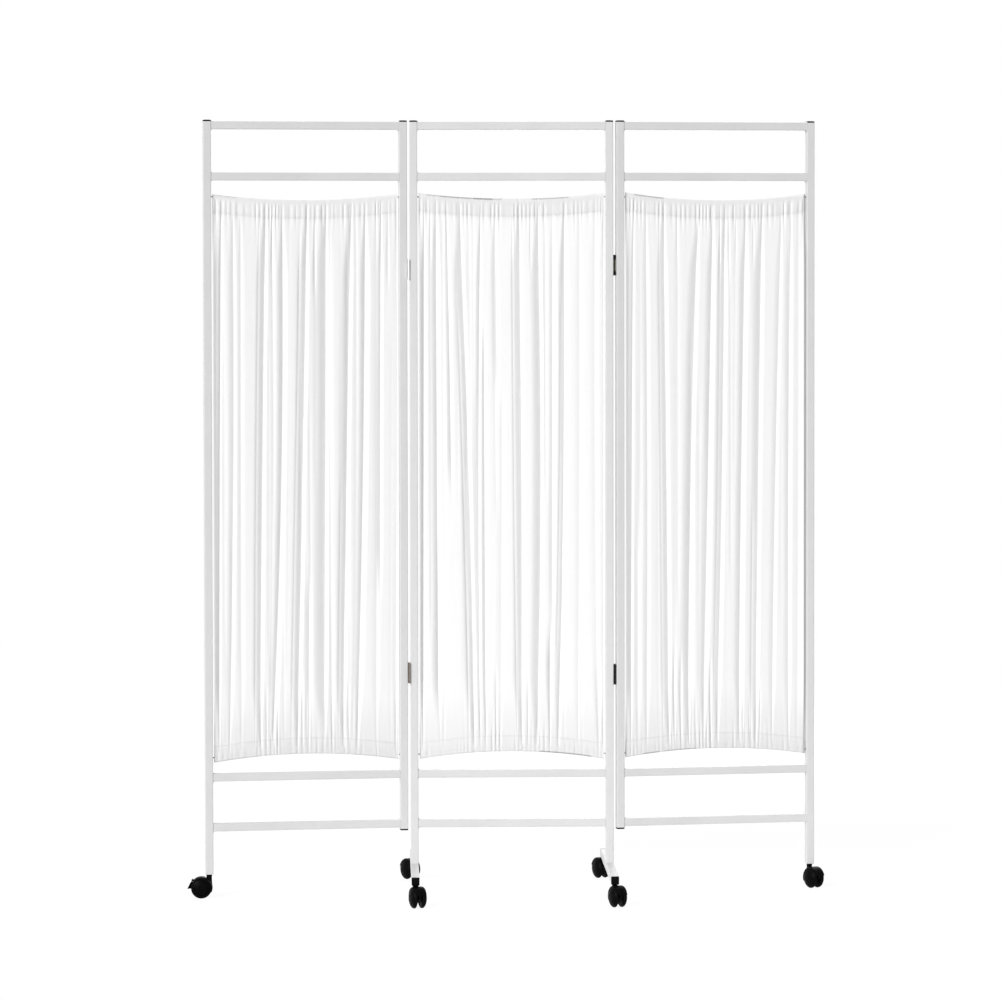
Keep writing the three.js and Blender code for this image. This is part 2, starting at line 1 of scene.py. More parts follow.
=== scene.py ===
import json
from collections import namedtuple
from math import asin, atan2, cos, degrees, hypot, pi, radians, sin, sqrt

import bmesh
import bpy
import numpy as np
from mathutils import Matrix, Vector


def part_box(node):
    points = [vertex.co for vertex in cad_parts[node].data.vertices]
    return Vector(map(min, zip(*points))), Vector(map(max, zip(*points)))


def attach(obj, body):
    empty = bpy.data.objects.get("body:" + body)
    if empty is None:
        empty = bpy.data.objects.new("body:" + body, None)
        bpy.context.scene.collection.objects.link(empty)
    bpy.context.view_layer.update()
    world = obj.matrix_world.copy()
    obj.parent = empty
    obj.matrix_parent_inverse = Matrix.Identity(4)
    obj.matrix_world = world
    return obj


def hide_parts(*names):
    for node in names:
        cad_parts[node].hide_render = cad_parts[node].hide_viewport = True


# Ward privacy screen on wheels: the looks of its tubes, caps, hinges, casters, wires and gathered curtains.
# Lengths are in metres, and angles in degrees unless their names say radians.
# X runs along the screen, -Y faces the viewer, +Z is up.

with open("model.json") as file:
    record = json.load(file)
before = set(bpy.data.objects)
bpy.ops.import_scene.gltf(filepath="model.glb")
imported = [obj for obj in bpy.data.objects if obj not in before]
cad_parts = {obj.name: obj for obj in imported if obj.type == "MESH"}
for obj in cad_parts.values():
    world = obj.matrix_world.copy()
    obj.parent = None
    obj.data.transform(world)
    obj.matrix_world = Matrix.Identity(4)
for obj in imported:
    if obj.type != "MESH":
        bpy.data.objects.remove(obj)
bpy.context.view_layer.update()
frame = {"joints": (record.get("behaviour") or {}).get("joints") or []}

# Camera, as fitted to the photograph's frame
camera_turn = 1.657
camera_pitch = 1.791
camera_roll = -0.080
camera_aside = -0.0269
camera_distance = 10.592
camera_height = 1.536
camera_lens = 156.33
camera_sensor = 36.0
camera_shift = -0.1

# Tubes and welds
tube_corner = 0.0016
tube_wall = 0.0012
tube_end_chamfer = 0.0003
corner_steps = 5
weld_leg = 0.0022
weld_seam = 0.00035
weld_ripple_pitch = 0.0021
weld_ripple_share = 0.16
weld_points = 144
weld_arc_steps = 4
weld_hollow = 0.25

# Tube caps
cap_gap = 0.0003
cap_edge = 0.0018
cap_edge_steps = 5
cap_ease = 0.0002
cap_crown_rise = 0.00036
cap_crown_inset = 0.003
upright_cap_head = 0.004
cap_shank_length = 0.007
cap_core_share = 0.72
cap_inner_corner = 0.0008
cap_rib_count = 3
cap_rib_half = 0.0005

# Steps around the larger and the smaller turned parts
round_steps = 28
small_round_steps = 20

# Hinges
leaf_thickness = 0.0012
leaf_depth = 0.015
leaf_inner_gap = 0.0005
leaf_corner = 0.003
knuckle_radius = 0.0021
knuckle_gap = 0.0004
knuckle_edge = 0.0003
wrap_inset = 0.0002
pin_head_radius = 0.0018
pin_head_height = 0.0007
screw_radius = 0.0026
screw_height = 0.00006
screw_height_share = 0.3
screw_depth_share = 0.55
screw_slot = (0.0006, 0.0032, 0.00005, 0.00008, 0.0001)
screw_slot_radians = (0.4, 1.97)

# Wires
wire_radius = 0.0015
ferrule_radius = 0.003
ferrule_length = 0.004
ferrule_edge = 0.0004
ferrule_step = 0.0002
wire_sides = 14
wire_steps = 60

# Curtains
# How far the cloth reaches past its wires at the left edge, the middle and the right edge of each curtain
top_margins = {
    "left": (0.0060, 0.0064, 0.0070),
    "middle": (0.0091, 0.0101, 0.0087),
    "right": (0.0108, 0.0062, 0.0072),
}
bottom_margins = {
    "left": (0.0121, 0.0101, 0.0116),
    "middle": (0.0116, 0.0100, 0.0138),
    "right": (0.0110, 0.0089, 0.0104),
}
heading_flat = 0.009
heading_full = 0.017
wire_hug_reach = 0.009
header_depth = 0.044
hem_depth = 0.040
cloth_gap = 0.00035
cloth_on_wire = 0.0004
gather_pitch = 0.0125
gather_depth = 0.0015
gather_fade = 0.018
gather_second = 0.2
gather_wander = 0.45
hem_gather_share = 0.85
hem_gather_least = 0.12
hem_gather_reach = 0.022
fold_fade = 0.16
fold_seam_width_share = 0.4
fold_seam_depth_share = 0.5
fold_rounding_share = 0.09
fold_lead_share = 0.24
fold_end_outside = 0.07
fold_end_inside = 0.03
hem_fold_share = 0.3
fold_in_pocket_share = 0.6
fold_size_factors = {"left": 1.2, "middle": 1.55, "right": 0.95}
edge_curl = 0.0045
edge_curl_reach = 0.007
faint_fold_count = 22
first_seed = 11
curtain_columns = 460
body_rows = 120
pocket_row_shares = [0, 0.02, 0.05, 0.09, 0.15, 0.24, 0.36, 0.52, 0.74, 0.86, 0.94, 1]
pocket_puff = 0.0009
pocket_puff_reach = 0.008
turn_rows = 4
stitch_pitch = 0.0032
stitch_length = 0.0024
stitch_radius = 0.00024
stitch_lift = 0.000192
stitch_sides = 5
fold_centre_depth = 0.0022
# The right curtain's outer edge is painted grey as shade, in the corner where the cloth meets the right outer
# upright
selvedge_shade_width = 0.0028
selvedge_painted_shade = 0.85
# How far the cloth is from its palest white towards grey: its body, each header at its edge and at its seam,
# and what the hem adds. Each panel's header greys are painted light: mostly paler than the body, set panel by
# panel to lift the shade of the header's double layer.
body_grey = 0.085
header_painted_light_greys = {"left": (0.0, 0.05), "middle": (0.05, 0.105), "right": (0.0, 0.07)}
hem_grey = 0.09
hem_pocket_grey = 0.02
hem_pocket_start = 0.004
hem_grey_reach = 0.12
seam_grey = 0.06
seam_grey_reach = 0.003
seam_blur = 0.001
edge_line_reach = 0.0032
line_fade_share = 0.02

# Casters
wheel_radius = 0.025
axle_radius = 0.003
axle_in_wheel = 0.001
axle_steps = 24
wheel_bevel = (0.0048, 0.0042)
wheel_inner_face = 0.0052
wheel_outer_face = 0.0208
wheel_dome_start = 0.0097
wheel_dome_steps = 12
wheel_groove_radians = 0.82
wheel_groove_depth = 0.0008
wheel_recess_depth = 0.0015
wheel_hub_groove_depth = 0.0006
wheel_steps = 64
hood_gap = 0.0006
hood_wall = 0.0014
hood_half_width = 0.0164
hood_section_steps = 9
hood_front_angle = -22
hood_rear_angle = 165
braked_rear_angle = 137
hood_steps = 40
web_half_thickness = 0.003
web_steps = 72
hub_radius = 0.012
web_taper_angle = 55
braked_web_taper_angle = 22
neck_radius = 0.0066
neck_flare_radius = 0.0085
neck_flare_shares = (0.3, 0.6, 0.85)
neck_flare_power = 0.6
neck_shoulder_share = 0.86
neck_sunk_share = 0.7
neck_steps = 32
collar_radius = 0.0071
collar_height = 0.0035
collar_edge = 0.0005
seat_gap = 0.0003
stem_radius = 0.004
stem_length = 0.015
stem_in_socket = 0.002
stem_edge = 0.0006
pedal_width = 0.014
pedal_thickness = 0.0022
pedal_radius = 0.0271
pedal_end_angle = 176
pedal_toe_angle = 187
pedal_toe_lift = 0.0026
pedal_toe_widening = 0.12
pedal_toe_start = 12
pedal_barrel_radius = 0.0026
pedal_corner_share = 0.3
pedal_edge = 0.0003
pedal_steps = 18
pedal_rib_angle = 146
pedal_rib_half_width = 0.0023
pedal_rib_inner = 0.0222
pedal_rib_lift = 0.00208
pedal_rib_toe_inner = 0.0175
moulding_edge = 0.0004

# Stage
white = (1, 1, 1, 1)
floor_size = 14
floor_seen_share = 0.86
floor_seen_strength = 1.06
world_strength = 0.23
key_from_left = 37
key_from_above = 25
key_strength = 3.22
key_spread = 26
softbox_place = Vector((1.5, 4.0, 2.6))
softbox_target = Vector((0, 0, 1.0))
softbox_size = (4.0, 3.0)
softbox_power = 105


# Moves

def shift(x, y, z):
    return Matrix.Translation((x, y, z))


def spin(angle, axis):
    return Matrix.Rotation(angle, 4, axis)


# Shapes: each is a pair of points and faces

def grid_faces(rows, columns, wrap_rows, wrap_columns):
    faces = []
    for row in range(rows if wrap_rows else rows - 1):
        here = row * columns
        there = (row + 1) % rows * columns
        for column in range(columns if wrap_columns else columns - 1):
            after = (column + 1) % columns
            faces.append((here + column, here + after, there + after, there + column))
    return faces


def loft(rings, closed=False):
    """A solid through rings of points, with a flat face at each end, or closed from last ring to first."""
    rings = np.asarray(rings, float)
    count, sides = rings.shape[:2]
    faces = grid_faces(count, sides, closed, True)
    if not closed:
        faces.append(tuple(reversed(range(sides))))
        faces.append(tuple(range((count - 1) * sides, count * sides)))
    return rings.reshape(-1, 3), faces


def stack(*parts):
    """Points whose coordinates are given one by one, each as a value or as one value per point."""
    return np.column_stack(np.broadcast_arrays(*parts))


def combine(*shapes):
    points, faces, start = [], [], 0
    for shape_points, shape_faces in shapes:
        points.append(np.asarray(shape_points, float))
        faces += [tuple(index + start for index in face) for face in shape_faces]
        start += len(shape_points)
    return np.concatenate(points), faces


def moved(shape, matrix):
    points, faces = shape
    turned = np.asarray(points) @ np.array(matrix.to_3x3()).T + np.array(matrix.translation)
    return turned, faces


def circle(steps):
    return np.linspace(0, 2 * pi, steps, endpoint=False)


def lathe(profile, steps):
    """Turns a profile of (radius, height) points about Z. The profile starts and ends on the axis."""
    radius, height = np.asarray(profile, float).T
    angles = circle(steps)[:, None]
    points = np.stack(np.broadcast_arrays(np.cos(angles) * radius, np.sin(angles) * radius, height), axis=-1)
    return points.reshape(-1, 3), grid_faces(steps, len(radius), True, False)


def rod(radius, low, high, steps, edge=0.0):
    side = [(radius - edge, low), (radius, low + edge), (radius, high - edge), (radius - edge, high)]
    return lathe([(0, low), *side, (0, high)], steps)


def rounded_square(width, depth, corner, steps=corner_steps):
    """Points of a rounded rectangle around the origin, anticlockwise."""
    points = []
    for quarter, (side_x, side_y) in enumerate([(1, 1), (-1, 1), (-1, -1), (1, -1)]):
        centre_x = side_x * (width / 2 - corner)
        centre_y = side_y * (depth / 2 - corner)
        for step in range(steps + 1):
            angle = (quarter + step / steps) * pi / 2
            points.append((centre_x + corner * cos(angle), centre_y + corner * sin(angle)))
    return np.array(points)


def at_height(outline, height):
    return stack(*outline.T, height)


def box(width, depth, low, high, corner):
    outline = rounded_square(width, depth, corner, 3)
    return loft([at_height(outline, low), at_height(outline, high)])


def square_tube(size, low, high):
    """A length of square tube along Z, open at both ends."""
    outer = rounded_square(size, size, tube_corner)
    eased = rounded_square(size - 2 * tube_end_chamfer, size - 2 * tube_end_chamfer, tube_corner)
    bore = size - 2 * tube_wall
    inner = rounded_square(bore, bore, tube_corner - tube_wall)
    return loft([
        at_height(eased, low),
        at_height(outer, low + tube_end_chamfer),
        at_height(outer, high - tube_end_chamfer),
        at_height(eased, high),
        at_height(inner, high),
        at_height(inner, low),
    ], True)


def lengths_along(points):
    return np.concatenate([[0], np.cumsum(np.linalg.norm(np.diff(points, axis=0), axis=1))])


# Pieces

def shade(mesh, sharp_angle):
    mesh.polygons.foreach_set("use_smooth", [True] * len(mesh.polygons))
    mesh.set_sharp_from_angle(angle=radians(sharp_angle))


def clean(mesh):
    work = bmesh.new()
    work.from_mesh(mesh)
    bmesh.ops.remove_doubles(work, verts=work.verts, dist=1e-7)
    bmesh.ops.dissolve_degenerate(work, edges=work.edges, dist=1e-8)
    bmesh.ops.recalc_face_normals(work, faces=work.faces)
    work.to_mesh(mesh)
    work.free()


def link(name, data):
    made = bpy.data.objects.new(name, data)
    bpy.context.scene.collection.objects.link(made)
    return made


def piece(name, shape, place, body, paint, replaces=(), bevel=0.0, sharp_angle=38):
    points, faces = shape
    mesh = bpy.data.meshes.new(name)
    mesh.from_pydata(np.asarray(points).tolist(), [], faces)
    clean(mesh)
    shade(mesh, sharp_angle)
    mesh.materials.append(paint)
    made = link(name, mesh)
    made.matrix_world = place
    if bevel:
        edges = made.modifiers.new("edges", "BEVEL")
        edges.width = bevel
        edges.segments = 3
        edges.limit_method = "ANGLE"
        edges.angle_limit = radians(sharp_angle)
    made.modifiers.new("normals", "WEIGHTED_NORMAL").keep_sharp = True
    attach(made, body)
    if replaces:
        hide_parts(*replaces)
    return made


# Places, read from the frame

def middle_of(node):
    low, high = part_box(node)
    return (low + high) / 2


tube_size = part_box("middle_top_rail")[1].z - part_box("middle_top_rail")[0].z
joints = {joint["name"]: joint for joint in frame["joints"]}
Panel = namedtuple("Panel", "name body place half_reach")


def panel(name, left_node, right_node):
    """The frame of one panel: its origin on the floor, X from its left upright to its right one."""
    left = middle_of(left_node)
    right = middle_of(right_node)
    along = right - left
    along.z = 0
    turn = atan2(along.y, along.x)
    centre = (left + right) / 2
    place = shift(centre.x, centre.y, 0) @ spin(turn, "Z")
    return Panel(name, f"{name}_panel", place, along.length / 2)


panels = [
    panel("left", "left_outer_upright", "left_inner_upright"),
    panel("middle", "middle_left_upright_and_foot", "middle_right_upright_and_foot"),
    panel("right", "right_inner_upright", "right_outer_upright"),
]
clear_half = panels[1].half_reach - tube_size / 2
panel_ends = {
    "left": ("left_outer", "left_inner"),
    "middle": ("middle_left", "middle_right"),
    "right": ("right_inner", "right_outer"),
}


# Materials

black_shine = 0.03
cloth_white = 0.914


def grey(level):
    return (level, level, level)


def is_socket(value):
    return isinstance(value, bpy.types.NodeSocket)


class Nodes:
    """A node tree with short ways to add to it. Each input is a value or another node's output."""

    def __init__(self, tree):
        self.tree = tree

    def plug(self, node, inputs):
        for key, value in inputs.items():
            if is_socket(value):
                self.tree.links.new(value, node.inputs[key])
            else:
                node.inputs[key].default_value = value
        return node

    def add(self, kind, output, inputs, **settings):
        """Adds a shader node and returns one of its outputs."""
        made = self.tree.nodes.new(f"ShaderNode{kind}")
        for key, value in settings.items():
            setattr(made, key, value)
        return self.plug(made, inputs).outputs[output]

    def calc(self, operation, first, second=0.0):
        return self.add("Math", "Value", {0: first, 1: second}, operation=operation)

    def seen(self):
        """1 for rays that show a surface to the camera, also by way of metal or glass, and 0 for light."""
        rays = self.tree.nodes.new("ShaderNodeLightPath").outputs
        mirrored = self.calc("MAXIMUM", rays["Is Camera Ray"], rays["Is Glossy Ray"])
        return self.calc("MAXIMUM", mirrored, rays["Is Transmission Ray"])

    def mixed(self, share, low, high):
        return self.add("MixShader", "Shader", {0: share, 1: low, 2: high})


class Paint(Nodes):
    """A node material around one Principled shader."""

    def __init__(self, name, color, roughness, metallic=0.0, shine=0.5):
        self.material = bpy.data.materials.new(name)
        self.material.use_nodes = True
        super().__init__(self.material.node_tree)
        self.shader = self.tree.nodes["Principled BSDF"]
        self.feed({
            "Base Color": (*color, 1),
            "Roughness": roughness,
            "Metallic": metallic,
            "Specular IOR Level": shine,
        })
        self.coordinates = self.add("TexCoord", "Object", {})

    def feed(self, inputs):
        self.plug(self.shader, inputs)

    def show(self, surface):
        self.plug(self.tree.nodes["Material Output"], {"Surface": surface})

    def noise(self, scale, detail=2.0, stretch=(1, 1, 1)):
        spread = self.add("Mapping", "Vector", {"Vector": self.coordinates, "Scale": stretch})
        return self.add("TexNoise", "Fac", {"Vector": spread, "Scale": scale, "Detail": detail})

    def from_middle(self, axis):
        """The distance from the object's own middle along one of its axes."""
        return self.calc("ABSOLUTE", self.add("SeparateXYZ", axis, {"Vector": self.coordinates}))

    def ranged(self, value, low, high, to_low=0.0, to_high=1.0):
        inputs = {"Value": value, "From Min": low, "From Max": high, "To Min": to_low, "To Max": to_high}
        return self.add("MapRange", "Result", inputs)

    def blended(self, share, low, high):
        """A blend of two colours, of which each is a tuple or an output."""
        low, high = (side if is_socket(side) else (*side, 1) for side in (low, high))
        return self.add("Mix", "Result", {"Factor": share, "A": low, "B": high}, data_type="RGBA")

    def bump(self, height, strength, distance):
        inputs = {"Height": height, "Strength": strength, "Distance": distance}
        self.feed({"Normal": self.add("Bump", "Normal", inputs)})


def powder_coat():
    """White powder coat: a faint orange peel, and slightly greyer where hands and floors have dulled it."""
    paint = Paint("white_powder_coat", grey(0.64), 0.36)
    worn = paint.ranged(paint.noise(9.0, 4.0), 0.35, 0.75)
    paint.feed({
        "Base Color": paint.blended(worn, grey(0.645), grey(0.61)),
        "Roughness": paint.ranged(paint.noise(40.0), 0.3, 0.7, 0.30, 0.42),
    })
    paint.bump(paint.noise(850.0, 1.0), 0.12, 0.0004)
    return paint.material


def black_plastic(name, level, roughness, grain):
    """Moulded black plastic with a fine grain and a little dust in patches."""
    paint = Paint(name, grey(level), roughness, shine=black_shine)
    dust = paint.ranged(paint.noise(120.0, 4.0), 0.45, 0.8)
    paint.feed({
        "Base Color": paint.blended(dust, grey(level), grey(2.2 * level)),
        "Roughness": paint.ranged(paint.noise(300.0), 0.3, 0.7, roughness - 0.07, roughness + 0.1),
    })
    paint.bump(paint.noise(grain, 2.0), 0.25, 0.0003)
    return paint.material


def wheel_plastic():
    """Black wheel: the tread is greyer with floor dust than the hub is."""
    paint = Paint("caster_wheel_black", grey(0.002), 0.45, shine=black_shine)
    flat = paint.add("VectorMath", "Vector", {0: paint.coordinates, 1: (1, 1, 0)}, operation="MULTIPLY")
    reach = paint.add("VectorMath", "Value", {0: flat}, operation="LENGTH")
    tread = paint.ranged(reach, wheel_radius - 0.0012, wheel_radius - 0.0001, 0.0, 0.8)
    patchy = paint.ranged(paint.noise(260.0, 3.0), 0.3, 0.7, 0.2, 1.0)
    dusty = paint.calc("MULTIPLY", tread, patchy)
    paint.feed({
        "Base Color": paint.blended(dusty, grey(0.002), grey(0.006)),
        "Roughness": paint.ranged(dusty, 0.0, 0.8, 0.36, 0.68),
    })
    paint.bump(paint.noise(1400.0, 2.0), 0.2, 0.0002)
    return paint.material


def metal(name, color, tarnish, roughness, metallic=0.9):
    """Plated steel, tarnished in patches."""
    paint = Paint(name, color, roughness, metallic)
    spots = paint.ranged(paint.noise(320.0, 5.0), 0.42, 0.68)
    paint.feed({
        "Base Color": paint.blended(spots, color, tarnish),
        "Roughness": paint.ranged(paint.noise(500.0), 0.3, 0.7, roughness - 0.08, roughness + 0.12),
    })
    paint.bump(paint.noise(900.0, 2.0, (1, 1, 0.15)), 0.15, 0.0002)
    return paint.material


def plate_with_painted_shade_ends(name, middle_color, painted_shade_color):
    """A hinge plate that is olive grey metal over the middle of its length and near-black towards its ends,
    where the near-black is painted shade.
    """
    paint = Paint(name, painted_shade_color, 0.5, 0.2)
    ragged = paint.ranged(paint.noise(300.0), 0.3, 0.7, -0.003, 0.003)
    # The near-black towards the ends is painted shade
    painted_shade_ends = paint.ranged(paint.calc("ADD", paint.from_middle("Z"), ragged), 0.012, 0.015)
    paint.feed({"Base Color": paint.blended(painted_shade_ends, middle_color, painted_shade_color)})
    return paint.material


def coated_wire():
    """Sprung wire under a thin grey sleeve, its coils showing through as fine rings, with plated ferrules."""
    paint = Paint("wire_grey_sleeve", (0.30, 0.305, 0.31), 0.35)
    inputs = {"Vector": paint.coordinates, "Scale": 420.0, "Distortion": 0.4}
    rings = paint.add("TexWave", "Fac", inputs, bands_direction="X")
    sleeve = paint.blended(rings, (0.24, 0.245, 0.25), (0.36, 0.365, 0.37))
    low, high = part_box("middle_top_wire")
    ferrule_start = (high.x - low.x) / 2 - ferrule_length
    crimped = paint.ranged(paint.from_middle("X"), ferrule_start, ferrule_start + ferrule_step)
    paint.feed({"Base Color": paint.blended(crimped, sleeve, grey(0.66))})
    paint.bump(rings, 0.3, 0.0002)
    return paint.material


def weave_height(paint):
    """Warp and weft threads of plain weave, in the flat cloth's own metres."""
    flat = paint.add("UVMap", "UV", {}, uv_map="cloth_metres")
    inputs = {"Vector": flat, "Scale": 320.0, "Distortion": 0.6, "Detail": 1.0, "Detail Scale": 3.0}
    warp, weft = (paint.add("TexWave", "Fac", inputs, bands_direction=way) for way in "XY")
    return paint.calc("ADD", warp, weft)


def curtain_cloth():
    """Thin white woven cloth: light from behind comes through it, and less where it lies double. It turns
    grey by its own map of grey tones, painted light on the headers and painted shade, up to the tone of the
    wire whose painted shade shows along its edges."""
    paint = Paint("curtain_white_cloth", grey(cloth_white), 0.85, shine=0.25)
    slubs = paint.ranged(paint.noise(30.0, 5.0, (6, 6, 0.35)), 0.3, 0.75)
    slubbed = paint.blended(slubs, grey(cloth_white), grey(0.892))
    grey_with_painted_light_and_shade = paint.add("Attribute", "Fac", {}, attribute_name="grey_with_painted_light_and_shade")
    color = paint.blended(grey_with_painted_light_and_shade, slubbed, grey(0.10))
    paint.feed({"Base Color": color, "Sheen Weight": 0.08})
    paint.bump(weave_height(paint), 0.18, 0.0002)
    through = paint.add("BsdfTranslucent", "BSDF", {"Color": color})
    paint.show(paint.mixed(0.19, paint.shader.outputs["BSDF"], through))
    return paint.material


def thread_cloth():
    paint = Paint("curtain_white_thread", grey(0.9), 0.7)
    paint.feed({"Base Color": paint.blended(paint.noise(900.0), grey(0.88), grey(0.93)), "Sheen Weight": 0.1})
    return paint.material


frame_paint = powder_coat()
cap_paint = black_plastic("cap_black_plastic", 0.003, 0.45, 1600.0)
caster_paint = black_plastic("caster_black_plastic", 0.002, 0.4, 1200.0)
wheel_paint = wheel_plastic()
stem_paint = metal("stem_zinc", (0.55, 0.55, 0.54), (0.35, 0.34, 0.33), 0.35)
wire_paint = coated_wire()
cloth_paint = curtain_cloth()
thread_paint = thread_cloth()
leaf_paints = {
    "left_upper": metal("hinge_pale_plate", (0.85, 0.85, 0.86), grey(0.77), 0.6, 1.0),
    "left_lower": metal("hinge_warm_plate", (0.22, 0.175, 0.15), (0.15, 0.115, 0.095), 0.4, 0.5),
    # The right upper hinge's near-black ends are painted shade
    "right_upper": plate_with_painted_shade_ends("hinge_plate_painted_shade_ends", (0.30, 0.29, 0.24), (0.03, 0.03, 0.027)),
    # The right lower hinge's near-black is painted shade
    "right_lower": metal("hinge_plate_painted_shade", (0.05, 0.05, 0.052), (0.08, 0.075, 0.07), 0.4, 0.5),
}


# Tubes

def weld_ring(tall_sides):
    """A rippled weld around a tube that ends at Z = 0 on a face of its own width.
    The bead is a full fillet on the two sides named, "X" or "Y", and a thin flush seam on the others."""
    outline = rounded_square(tube_size, tube_size, tube_corner, 7)
    closed = np.vstack([outline, outline[:1]])
    lengths = lengths_along(closed)
    places = np.linspace(0, lengths[-1], weld_points, endpoint=False)
    x, y = (np.interp(places, lengths, closed[:, axis]) for axis in (0, 1))
    out = np.array([np.roll(y, -1) - np.roll(y, 1), np.roll(x, 1) - np.roll(x, -1)])
    out_x, out_y = out / np.linalg.norm(out, axis=0)
    facing = np.abs({"X": out_x, "Y": out_y}[tall_sides])
    ripple = 1 + weld_ripple_share * np.sin(2 * pi * places / weld_ripple_pitch)
    leg = (weld_seam + (weld_leg - weld_seam) * facing ** 3) * ripple
    rings = []
    for step in range(weld_arc_steps + 1):
        angle = step / weld_arc_steps * pi / 2
        reach, height = (leg * ((1 - weld_hollow) * way + weld_hollow * way ** 3)
                         for way in (cos(angle), sin(angle)))
        rings.append(stack(x + out_x * reach, y + out_y * reach, height))
    root = weld_seam / 2
    rings.append(stack(x - out_x * root, y - out_y * root, 0.0))
    return loft(rings, True)


def add_rails(home):
    for label in ("top", "upper", "lower", "bottom"):
        node = f"{home.name}_{label}_rail"
        height = middle_of(node).z
        lying = shift(0, 0, height) @ spin(pi / 2, "Y")
        shape = moved(square_tube(tube_size, -clear_half, clear_half), lying)
        piece(f"{node}_tube", shape, home.place, home.body, frame_paint, [node])


def add_rail_welds(home):
    shapes = []
    for label in ("top", "upper", "lower", "bottom"):
        height = middle_of(f"{home.name}_{label}_rail").z
        for side in (-1, 1):
            place = shift(side * clear_half, 0, height) @ spin(side * -pi / 2, "Y")
            shapes.append(moved(weld_ring("X"), place))
    name = f"{home.name}_rail_welds"
    piece(name, combine(*shapes), home.place, home.body, frame_paint, sharp_angle=60)


def add_upright(home, node, side):
    low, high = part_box(node)
    shape = square_tube(tube_size, low.z, high.z)
    place = home.place @ shift(side * home.half_reach, 0, 0)
    piece(f"{node}_tube", shape, place, home.body, frame_paint, [node])


def add_foot(home, side_name, side):
    """A foot bar with the middle upright that stands on it, and the weld between them."""
    node = f"middle_{side_name}_upright_and_foot"
    low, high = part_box(node)
    foot_top = low.z + tube_size
    lying = shift(0, 0, low.z + tube_size / 2) @ spin(pi / 2, "X")
    half = (high.y - low.y) / 2
    shapes = [
        square_tube(tube_size, foot_top, high.z),
        moved(square_tube(tube_size, -half, half), lying),
        moved(weld_ring("Y"), shift(0, 0, foot_top)),
    ]
    place = home.place @ shift(side * home.half_reach, 0, 0)
    piece(f"{node}_tubes", combine(*shapes), place, home.body, frame_paint, [node])


# Caps

def cap_shape(head_height):
    """A push-in cap with a crowned head above Z = 0 and a ribbed shank below."""
    eased = tube_size - 2 * cap_ease
    rings = [
        at_height(rounded_square(eased, eased, tube_corner), cap_gap),
        at_height(rounded_square(tube_size, tube_size, tube_corner), cap_gap + 0.0003),
    ]
    for step in range(cap_edge_steps + 1):
        angle = step / cap_edge_steps * pi / 2
        side = tube_size - 2 * cap_edge * (1 - cos(angle))
        height = head_height - cap_crown_rise - cap_edge * (1 - sin(angle))
        rings.append(at_height(rounded_square(side, side, tube_corner), height))
    crown = tube_size - 2 * (cap_edge + cap_crown_inset)
    rings.append(at_height(rounded_square(crown, crown, tube_corner), head_height))
    bore = tube_size - 2 * tube_wall
    core = bore * cap_core_share
    shapes = [loft(rings), box(core, core, -cap_shank_length, cap_gap + 0.0004, cap_inner_corner)]
    ribbed = bore - 2 * cap_gap
    for rib in range(cap_rib_count):
        middle = -cap_shank_length * (rib + 0.6) / cap_rib_count
        shapes.append(box(ribbed, ribbed, middle - cap_rib_half, middle + cap_rib_half, cap_inner_corner))
    return combine(*shapes)


def add_cap(node, place, body, head_height):
    shape = cap_shape(head_height)
    piece(f"{node}_moulding", shape, place, body, cap_paint, [node], sharp_angle=50)


def add_upright_cap(home, side, node, way):
    """The cap in an upright's mouth. way is 1 at its top and -1 at its lower end."""
    low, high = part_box(node)
    mouth = low.z + cap_shank_length if way > 0 else high.z - cap_shank_length
    upward = spin(0 if way > 0 else pi, "X")
    place = home.place @ shift(side * home.half_reach, 0, mouth) @ upward
    add_cap(node, place, home.body, upright_cap_head)


def add_panel_caps(home):
    for side, prefix in zip((-1, 1), panel_ends[home.name]):
        add_upright_cap(home, side, f"{prefix}_top_cap", 1)
        if prefix.endswith("inner"):
            add_upright_cap(home, side, f"{prefix}_bottom_cap", -1)


def add_foot_caps(home):
    for side_name in ("left", "right"):
        for end_name, way in (("front", -1), ("rear", 1)):
            node = f"{side_name}_foot_{end_name}_cap"
            low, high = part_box(node)
            head_height = (high.y - low.y) - cap_shank_length
            base = low.y + head_height if way < 0 else high.y - head_height
            outward = spin(way * -pi / 2, "X")
            place = shift((low.x + high.x) / 2, base, (low.z + high.z) / 2) @ outward
            add_cap(node, place, home.body, head_height)


# Hinges

def leaf_plate(side, length):
    """One leaf beside the joint's middle plane, its outer corners rounded."""
    start = knuckle_radius + knuckle_gap
    outline = [(start, -length / 2), (start, length / 2)]
    depth = start + leaf_depth - leaf_corner
    for height, first in ((length / 2 - leaf_corner, 90), (leaf_corner - length / 2, 0)):
        for step in range(5):
            angle = radians(first - step * 22.5)
            outline.append((depth + leaf_corner * cos(angle), height + leaf_corner * sin(angle)))
    faces = []
    for x in (side * leaf_inner_gap, side * (leaf_inner_gap + leaf_thickness)):
        faces.append([(x, *point) for point in outline])
    return loft(faces)


def leaf_shape(side, middles, length):
    """A leaf with its knuckles. The fixed one, whose side is 1, also holds the pin."""
    third = length / 3 - knuckle_gap
    reach = knuckle_radius + knuckle_gap + leaf_thickness
    beside = shift(side * (leaf_inner_gap + leaf_thickness / 2), reach / 2, 0)
    shapes = [leaf_plate(side, length)]
    for middle in middles:
        low, high = middle - third / 2, middle + third / 2
        shapes.append(rod(knuckle_radius, low, high, round_steps, knuckle_edge))
        wrap = box(leaf_thickness, reach, low + wrap_inset, high - wrap_inset, wrap_inset)
        shapes.append(moved(wrap, beside))
    if side > 0:
        head = rod(pin_head_radius, 0, pin_head_height, small_round_steps, pin_head_height / 2)
        for way in (-1, 1):
            flip = spin(pi if way < 0 else 0, "X")
            shapes.append(moved(head, shift(0, 0, way * (length - knuckle_gap) / 2) @ flip))
    return combine(*shapes)


